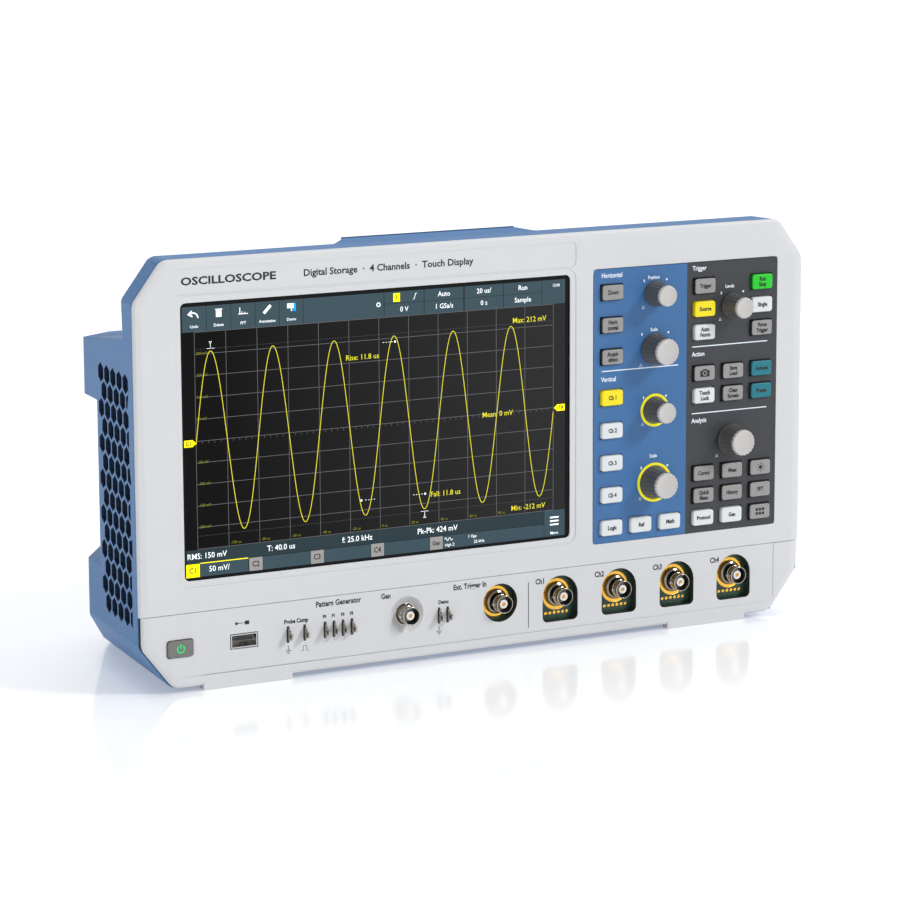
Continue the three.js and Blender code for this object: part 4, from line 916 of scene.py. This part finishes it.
def makeScreen():
    p = picture
    width = (glassHigh.x - glassLow.x) / mm - 2 * glassLap
    right = p["right"]
    # Painted reflection: the picture's black turns dark grey from left to right, standing in for the studio
    # reflected in the glass.
    regions["picture"] = ("X", screenAt[0] + p["paintedReflectionFrom"] * mm, (p["paintedReflectionTo"] - p["paintedReflectionFrom"]) * mm,
                          (40, 40, 41))
    paint("touch_glass", "screenGlass")
    base = slabs([(p["left"], p["bottom"], right, p["top"])], 0.005, 0.02)
    makePiece("screen_picture", placed(base, screenAt), "picture")

    barTop = p["gridBottom"] - 0.2
    tools = p["left"] + np.arange(5) * 13.2
    bars = slabs([(t, p["barBottom"], t + 13.0, p["top"]) for t in tools]
                 + [(p["left"] + 66.0, p["barBottom"], p["boxes"][0] - 0.2, p["top"])]
                 + [(left + 0.1, low, left + 22.6, high) for left in p["boxes"][:4]
                    for low, high in ((p["barBottom"], p["split"] - 0.1), (p["split"] + 0.1, p["top"]))]
                 + [(p["boxes"][4] + 0.1, p["barBottom"], right, p["top"])]
                 + [(left, p["bottom"], left + 33.9, p["channelTop"]) for left in p["channels"][:4]]
                 + [(p["channels"][4], p["bottom"], 205.2, p["channelTop"]),
                    (205.5, p["bottom"], right, barTop)],
                 0.02, 0.04)
    readings = inked(slabs([(p["left"], p["channelTop"] + 0.25, 205.2, barTop)], 0.02, 0.04), 1)
    makePiece("screen_bars", placed(joined([bars, readings]), screenAt), "barLight barDarkLight")
    makePiece("screen_grid", placed(gridShape(0.02, 0.04), screenAt), "gridLight")
    makePiece("screen_trace", placed(traceShape(0.04, 0.07), screenAt), "traceLight",
              sharp=180)

    flags = [flag(1.3, p["waveMiddle"], 1, 0.03, 0.06),
             flag(right - 4.7, p["waveMiddle"] + 0.6, -1, 0.03, 0.06),
             slabs([(p["channels"][0], p["bottom"], p["channels"][0] + p["channelWidth"], p["channelTop"]),
                    (8.9, p["channelTop"] - 0.1, 35.0, p["channelTop"] + 0.35),
                    (p["boxes"][0] + 5.2, p["split"] + 0.8, p["boxes"][0] + 9.0, p["top"] - 0.8)], 0.04,
                   0.06)]
    greys = inked(slabs([(left, p["bottom"], left + p["channelWidth"],
                          p["channelTop"]) for left in p["channels"][1:]],
                        0.04, 0.06), 1)
    bars = slabs([(-2.6, at - 0.4, 2.6, at + 0.4) for at in (-1.9, 0.0, 1.9)], 0.04, 0.06)
    menu = shifted(inked(bars, 2), 211.5, 9.6)
    makePiece("screen_boxes", placed(joined(flags + [greys, menu]), screenAt),
              "yellowBoxLight greyBoxLight whiteLight")

    x = tools + 6.5
    toolWords = [("Undo", x[0]), ("Delete", x[1]), ("FFT", x[2]), ("Annotation", x[3]), ("Demo", x[4])]
    whites = [(words, at, p["barBottom"] + 2.6, 1.5, "CENTER", 0) for words, at in toolWords]
    box = [(left + 11.4) for left in p["boxes"]]
    upper, lower = (p["split"] + p["top"]) / 2, (p["split"] + p["barBottom"]) / 2
    size = 2.6
    whites += [("Auto", box[1], upper, size, "CENTER", 0), ("20 us/", box[2], upper, size, "CENTER", 0),
               ("Run", box[3], upper, size, "CENTER", 0), ("0 V", box[0], lower, size, "CENTER", 0),
               ("1 GSa/s", box[1], lower, size, "CENTER", 0), ("0 s", box[2], lower, size, "CENTER", 0),
               ("Sample", box[3], lower, size, "CENTER", 0), ("12:00", right - 5.4, upper, 1.5, "CENTER", 0)]
    readingHeight = (p["channelTop"] + barTop) / 2 + 0.1
    size = 2.95
    whites += [("RMS: 150 mV", 1.8, readingHeight, size, "LEFT", 0),
               ("T: 40.0 us", 45.5, readingHeight, size, "LEFT", 0),
               ("f: 25.0 kHz", 87.5, readingHeight, size, "LEFT", 0),
               ("Pk-Pk: 424 mV", 130.5, readingHeight, size, "LEFT", 0),
               ("50 mV/", 13.5, 4.9, 2.9, "LEFT", 0), ("High Z", 146.5, 3.2, 1.5, "LEFT", 0),
               ("1 Vpp", 160.0, 6.4, 1.6, "LEFT", 0), ("25 kHz", 163.5, 3.4, 1.6, "LEFT", 0),
               ("Menu", 211.5, 3.2, 1.6, "CENTER", 0)]
    wave = np.linspace(0, 4 * np.pi, 33)
    littleWave = ribbon(np.stack([146.4 + wave * 0.36, 6.3 + 0.8 * np.sin(wave)], -1), 0.28, 0.045, 0.07)
    gearRing = turnedRings([(1.3, 0.045), (1.3, 0.07), (0.7, 0.07), (0.7, 0.045)], 20, 8, [0.25, 0.25, 0, 0])
    gear = shifted(stack(gearRing, loop=True), p["boxes"][0] - 3.2, p["split"])
    slope = ribbon([(-1.2, -1.4), (-0.4, -1.4), (0.4, 1.4), (1.2, 1.4)], 0.3, 0.045, 0.07)
    slope = shifted(slope, p["boxes"][0] + 17.5, upper)
    markers = markerShapes(0.045, 0.07)
    makePiece("screen_words", placed(joined([letters(whites, 0.045, 0.07, 0.01, 0.96), littleWave, gear,
                                             slope,
                                             toolIcons(0.045, 0.07), *markers]), screenAt),
              "whiteLight blueLight")

    yellows = [("Max: 212 mV", 186.5, 117.0, 2.8, "LEFT", 0), ("Mean: 0 mV", 168.6, 69.2, 2.8, "LEFT", 0),
               ("Min: -212 mV", 185.5, 18.6, 2.8, "LEFT", 0), ("Rise: 11.8 us", 90.4, 104.8, 2.8, "LEFT", 0),
               ("Fall: 11.8 us", 138.2, 30.6, 2.8, "LEFT", 0)]
    makePiece("screen_readings", placed(letters(yellows, 0.07, 0.09, 0.01, 0.96), screenAt), "traceLight")
    dims = [("%d mV" % (50 * n), p["gridLeft"] + 0.8, p["waveMiddle"] + n * p["up"] + 1.1, 1.45, "LEFT", 0)
            for n in (4, 3, 2, 1, -1, -2, -3, -4)]
    dims += [("%d us" % (20 * n), p["waveStart"] + n * p["across"] + 0.8, p["gridBottom"] + 1.6, 1.45,
              "LEFT", 0)
             for n in range(-5, 5)]
    makePiece("screen_scales", placed(letters(dims, 0.04, 0.06, 0.0, 0.96), screenAt), "dimTraceLight")
    marks = [("C1", p["channels"][0] + 3.6, 4.8, 2.9, "CENTER", 0),
             ("C1", 3.7, p["waveMiddle"], 2.2, "CENTER", 0),
             ("TA", right - 2.3, p["waveMiddle"] + 0.6, 2.0, "CENTER", 0),
             ("1", p["boxes"][0] + 7.1, upper, 2.4, "CENTER", 0)]
    marks += [("C%d" % (n + 2), left + 3.6, 4.8, 2.9, "CENTER", 0) for n,
              left in enumerate(p["channels"][1:4])]
    marks += [("Gen", p["channels"][4] + 3.6, 4.8, 2.3, "CENTER", 0)]
    makePiece("screen_marks", placed(letters(marks, 0.05, 0.1, 0.08), screenAt), "blackInk")


# White measuring marks: a small triangle with a dotted line at a peak, a trough and two slopes.
def markerShapes(low, high):
    p = picture
    peak, trough = p["waveMiddle"] + p["waveHeight"], p["waveMiddle"] - p["waveHeight"]
    firstPeak = p["waveStart"] + p["wavePeriod"] * (0.25 - 3)
    lateTrough = p["waveStart"] + p["wavePeriod"] * 0.75
    shapes = []
    for x, y, way in ((firstPeak, peak, 1), (lateTrough, trough, -1)):
        shapes.append(slabs([(x - 2.2, y + way * 1.3 - 0.1, x + 2.2, y + way * 1.3 + 0.1),
                             (x - 0.12, y + way * 2.6 - 0.9, x + 0.12, y + way * 2.6 + 0.9)], low, high))
        shapes.append(ribbon([(x - 0.7, y + way * 4.6), (x + 0.7, y + way * 4.6), (x, y + way * 3.6)][::way],
                             0.4, low, high, closed=True))
    for x, y, way in ((p["waveStart"] + 4.4, 111.3, 1), (lateTrough - 4.2, 31.4, 1),
                      (p["waveStart"] - 6.2, 31.4, -1)):
        shapes.append(slabs([(x - 2.4 + 1.6 * n, y - 0.12, x - 1.6 + 1.6 * n, y + 0.12) for n in range(4)],
                            low, high))
        shapes.append(slabs([(x + way * 4.6 - 0.5, y - 0.5, x + way * 4.6 + 0.5, y + 0.5)], low, high))
    return shapes


makeScreen()
print("screen made")

# Lettering on the bezels, from the case's lower left corner of the front.
bezelAt = (cadBox[0][0], face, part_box("rear_shell")[0].z + 2.5 * mm)
bezelPrint = dict(
    name=[("OSCILLOSCOPE", 25.5, 203.2, 3.9, "LEFT", 0),
          ("Digital Storage  \u00b7  4 Channels  \u00b7  Touch Display", 92.0, 203.4, 3.5, "LEFT", 0)],
    words=[("Probe Comp", 85.6, 27.2, 2.2, "CENTER", 0), ("Pattern Generator", 109.5, 34.2, 2.9, "CENTER", 0),
           ("Gen", 136.6, 34.2, 2.8, "CENTER", 0), ("Demo", 170.0, 27.6, 2.0, "CENTER", 0),
           ("Ext. Trigger In", 185.6, 34.3, 2.9, "CENTER", 0)],
    dataX=[101.6, 106.7, 111.9, 117.0], dataZ=27.6,
    channelOffset=(-12.2, 8.6),
    divider=(220.4, 8.0, 32.5),
    relief=0.3,  # depth of the fields that carry the words
)


def makeBezelPrint():
    low, high = -0.02 - bezelPrint["relief"], 0.03 - bezelPrint["relief"]
    rows = list(bezelPrint["words"])
    rows += [("P%d" % n, x, bezelPrint["dataZ"], 1.6, "CENTER", 0) for n, x in enumerate(bezelPrint["dataX"])]
    dx, dz = bezelPrint["channelOffset"]
    for n in range(4):
        at = middle("channel_%d_socket" % (n + 1))
        rows.append(("Ch%d" % (n + 1), (at.x - bezelAt[0]) / mm + dx, (at.z - bezelAt[2]) / mm + dz, 2.9,
                     "CENTER", 0))
    shapes = [letters(rows, low, high, 0.13)]
    x, bottom, top = bezelPrint["divider"]
    shapes.append(slabs([(x - 0.2, bottom, x + 0.2, top)], low, high))
    for x in (81.1, 167.4):  # earth marks under two of the lugs
        shapes.append(slabs([(x - 0.15, 12.6, x + 0.15, 15.0), (x - 1.6, 12.3, x + 1.6, 12.6),
                             (x - 1.0, 11.5, x + 1.0, 11.8), (x - 0.5, 10.7, x + 0.5, 11.0)], low, high))
    square = ribbon([(-2.2, 0), (-1.0, 0), (-1.0, 2.6), (1.0, 2.6), (1.0, 0), (2.2, 0)], 0.3, low, high)
    shapes.append(shifted(square, 90.4, 11.4))
    makePiece("socket_words", placed(joined(shapes), bezelAt), "blackInk")
    plug = joined([slabs([(-3.4, -0.15, 1.0, 0.15), (1.0, -1.0, 3.4, 1.0)], low, high),
                   shifted(stack(turnedRings([(0.8, low), (0.8, high)], 16)), -3.6, 0)])
    title, summary = bezelPrint["name"][:1], bezelPrint["name"][1:]
    shapes = [letters(title, low, high, 0.16, 1.35), letters(summary, low, high, 0.12, 1.04),
              shifted(plug, 56.2, 29.6)]
    makePiece("bezel_words", placed(joined(shapes), bezelAt), "blackInk")


makeBezelPrint()
print("bezel print made")


# Power key: a soft cap with a lit ring and bar.
def makePowerKey():
    node = "power_key"
    low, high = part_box(node)
    at = (middle(node).x, face, middle(node).z)
    form = dict(keyForm, radius=1.7, edge=0.5, crown=0.05)
    width, height = [(high[k] - low[k]) / mm - 2 * form["flange"] for k in (0, 2)]
    top, back = (face - low.y) / mm, (face - high.y) / mm
    cap = makePiece(node + "_cap", placed(capShape(width, height, top, back, form), at),
                    "powerRubber powerRubber", node)
    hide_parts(node)
    turn = np.radians(np.linspace(125, 415, 25))
    mark = joined([ribbon(np.stack([1.9 * np.cos(turn), 1.9 * np.sin(turn)], -1), 0.75, top - 0.1,
                          top + 0.04),
                   slabs([(-0.38, 0.0, 0.38, 2.6)], top - 0.1, top + 0.04)])
    makePiece(node + "_mark", placed(mark, at), "greenLight", node)


makePowerKey()

# Ports: USB tongue, rear jack frames and the mains inlet's shroud.
portForm = dict(tongue=(11.1, 1.9, 11.0), contacts=4, contactPitch=2.3)


def frameShape(outer, inner, depth, lip=0.25):  # a rounded sleeve: out, over the lip and back in
    rows = [(outer[0], outer[1], 0.9, -depth), (outer[0], outer[1], 0.9, 0.0),
            (outer[0] - 0.3, outer[1] - 0.3, 0.8, lip), (inner[0] + 0.3, inner[1] + 0.3, 0.7, lip),
            (inner[0], inner[1], 0.6, 0.0), (inner[0], inner[1], 0.6, -depth)]
    return stack(roundedRings(rows), loop=True)


def makePorts():
    paint("usb_host_port", "portSteel")
    low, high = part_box("usb_host_port")
    width, height, length = portForm["tongue"]
    at = (middle("usb_host_port").x, low.y, middle("usb_host_port").z + (high.z - low.z) * 0.14)
    tongue = stack(roundedRings([(width + 0.1, height + 0.1, 0.3, -length),
                                 (width + 0.1, height + 0.1, 0.3, -1.1),
                                 (width - 0.3, height - 0.3, 0.2, -0.9)]), 0)
    pins = slabs([(x - 0.5, -height / 2 - 0.12, x + 0.5, -height / 2 + 0.1) for x in
                  (np.arange(portForm["contacts"]) - 1.5) * portForm["contactPitch"]], -9.5, -1.6)
    makePiece("usb_tongue", placed(joined([tongue, inked(pins, 1)]), at), "blackPlastic gold")
    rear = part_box("main_board")[1].y
    jack = [(a + b) / 2 for a, b in zip(*openings["network_socket"])]
    makePiece("network_frame", placed(frameShape((16.0, 13.5), (11.7, 8.3), 11.5), (jack[0], rear, jack[2]),
                                      towardsRear),
              "portSteel")
    jack[0] -= 27.3 * mm
    makePiece("data_frame", placed(frameShape((12.0, 11.0), (8.4, 7.7), 8.5), (jack[0], rear, jack[2]),
                                   towardsRear),
              "portSteel")
    left, right = openings["mains_inlet_left"], openings["mains_inlet_right"]
    inlet = ((left[0][0] + right[1][0]) / 2, rear, (left[0][2] + left[1][2]) / 2 - 3.15 * mm)
    makePiece("mains_frame", placed(frameShape((28.0, 21.0), (23.9, 16.5), 15.0, 0.5), inlet, towardsRear),
              "blackPlastic")


makePorts()

# Test lugs: a rounded tab with an eye standing out of a slot, the slot a thin dark sheet of painted shade.
# Outline in (outward, up), millimetres.
lugForm = dict(reach=5.0, half=2.9, tip=1.7, eye=0.95, thickness=0.8, slot=(1.7, 7.4), places=[
    81.1, 90.4, 101.9, 106.95, 112.05, 117.1, 167.4, 172.45])


# Tab: out along the lower edge, round the tip by centre + tip (cos a, sin a), and back; the eye is a dark
# disc on each face of it, painted shade in place of the hole.
def lugShape(form):
    turn = np.radians(np.linspace(-70, 80, 12))
    middleOut, middleUp = form["reach"] - form["tip"], -0.5
    arc = np.stack([middleOut + form["tip"] * np.cos(turn), middleUp + form["tip"] * np.sin(turn)], -1)
    outline = np.concatenate([[(-3.0, -form["half"]), (1.2, -form["half"])], arc,
                              [(1.2, form["half"]), (-3.0, form["half"])]])
    sides = [np.c_[np.full(len(outline), x), outline[:, 1], outline[:, 0]] for x in
             (-form["thickness"] / 2, form["thickness"] / 2)]
    around = np.linspace(0, 2 * np.pi, 20, endpoint=False)
    disc = [np.c_[np.full(20, x), middleUp + form["eye"] * np.sin(around),
                  middleOut + form["eye"] * np.cos(around)]
            for x in (-form["thickness"] / 2 - 0.05, form["thickness"] / 2 + 0.05)]
    return [stack(np.stack(sides)[::-1]), inked(stack(np.stack(disc)[::-1]), 1)]


def makeLugs():
    form = lugForm
    width, height = form["slot"]
    # The slot behind each lug is a thin dark sheet, painted shade.
    slot = inked(stack(roundedRings([(width, height, 0.6, -0.35), (width, height, 0.6, -0.27)])), 1)
    shapes = [shifted(shape, x, 20.7) for x in form["places"] for shape in lugShape(form) + [slot]]
    lugs = makePiece("test_lugs", placed(joined(shapes), bezelAt), "nickel cutoutWall")
    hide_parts("terminal_strip")


makeLugs()

# Rear screws, rubber feet and the sealing strip between bezel and shell.
screwForm = dict(head=3.0, height=1.5, hex=1.3,
                 places=[(-0.145, 0.0640), (0.143, 0.0640), (-0.058, 0.1290), (0.143, 0.1290)])


# Button head: r = R cos(a), w = h sin(a); the drive is a six-sided hole, r = hex / cos(t mod 60 - 30).
def makeScrews():
    form = screwForm
    turn = np.radians(np.linspace(0, 62, 7))
    rows = [(form["head"], -0.4)] + [(form["head"] * np.cos(a), form["height"] * np.sin(a)) for a in turn]
    rings = turnedRings(rows, 36)
    angle = np.linspace(0, 2 * np.pi, 36, endpoint=False)
    six = form["hex"] / np.cos(np.mod(angle, np.pi / 3) - np.pi / 6) * math.cos(math.pi / 6)
    holes = [np.stack([six * s * np.cos(angle), six * s * np.sin(angle), np.full(36, w)], -1)
             for s, w in ((1.06, form["height"] * 0.9), (1.0, form["height"] * 0.84), (1.0, -0.1))]
    head = stack(np.concatenate([rings, np.stack(holes)]))
    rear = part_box("main_board")[1].y
    shapes = [placed(head, (x, rear, z), towardsRear) for x, z in form["places"]]
    makePiece("rear_screws", joined(shapes), "caseMetal", sharp=50)


def makeFeet():
    names = ("rear_left_foot", "rear_right_foot")
    places = [m["pos_m"] for m in frame["record"]["mounts"] if m["name"] in names]
    pad = stack(roundedRings([(31.0, 13.0, 2.2, 0.02), (31.4, 13.4, 2.4, 0.5), (31.2, 13.2, 2.3, 2.2),
                              (30.8, 12.8, 2.1, 2.45)], 6))
    makePiece("rear_foot_pads", joined([placed(pad, at, asDrawn) for at in places]), "blackRubber")
    for side in ("left", "right"):
        paint("tilt_foot_" + side, "footPlastic")


sealForm = dict(topCut=(15.5, 20.5), bottomCut=(17.0, 22.0), outer=1.0, inner=2.7, front=1.75, back=3.05)


# The front's eight-cornered outline, each corner moved in to where its two edges meet when both shift by
# the inset.
def insetOutline(width, height, inset):
    (tx, tz), (bx, bz) = sealForm["topCut"], sealForm["bottomCut"]
    corners = np.array([(bx, 0), (width - bx, 0), (width, bz), (width, height - tz), (width - tx, height),
                        (tx, height), (0, height - tz), (0, bz)], float)
    after = np.roll(corners, -1, 0) - corners
    after /= np.linalg.norm(after, axis=1, keepdims=True)
    before = np.roll(after, 1, 0)
    normal = lambda d: np.stack([-d[:, 1], d[:, 0]], -1)
    bisector = normal(before) + normal(after)
    return corners + inset * 2 * bisector / np.sum(bisector**2, axis=1, keepdims=True)


def makeSeal():
    form = sealForm
    width = (cadBox[1][0] - cadBox[0][0]) / mm
    height = (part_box("front_bezel")[1].z - bezelAt[2]) / mm
    rings = [np.c_[insetOutline(width, height, inset), np.full(8, -out)] for inset, out in
             ((form["outer"], form["back"]), (form["outer"], form["front"]),
              (form["inner"], form["front"]), (form["inner"], form["back"]))]
    makePiece("bezel_seal", placed(stack(np.stack(rings), loop=True), bezelAt), "blackRubber",
              sharp=20)


makeScrews()
makeFeet()
makeSeal()
print("ports, screws, feet and seal made")

for node, finishName in dict(
        input_board="circuitBoard", keypad_board="circuitBoard", main_board="circuitBoard",
        display_module="blackPlastic", power_supply="caseMetal", fan_housing="blackPlastic",
        fan_rotor="blackPlastic").items():
    paint(node, finishName)
print("inner pieces painted")
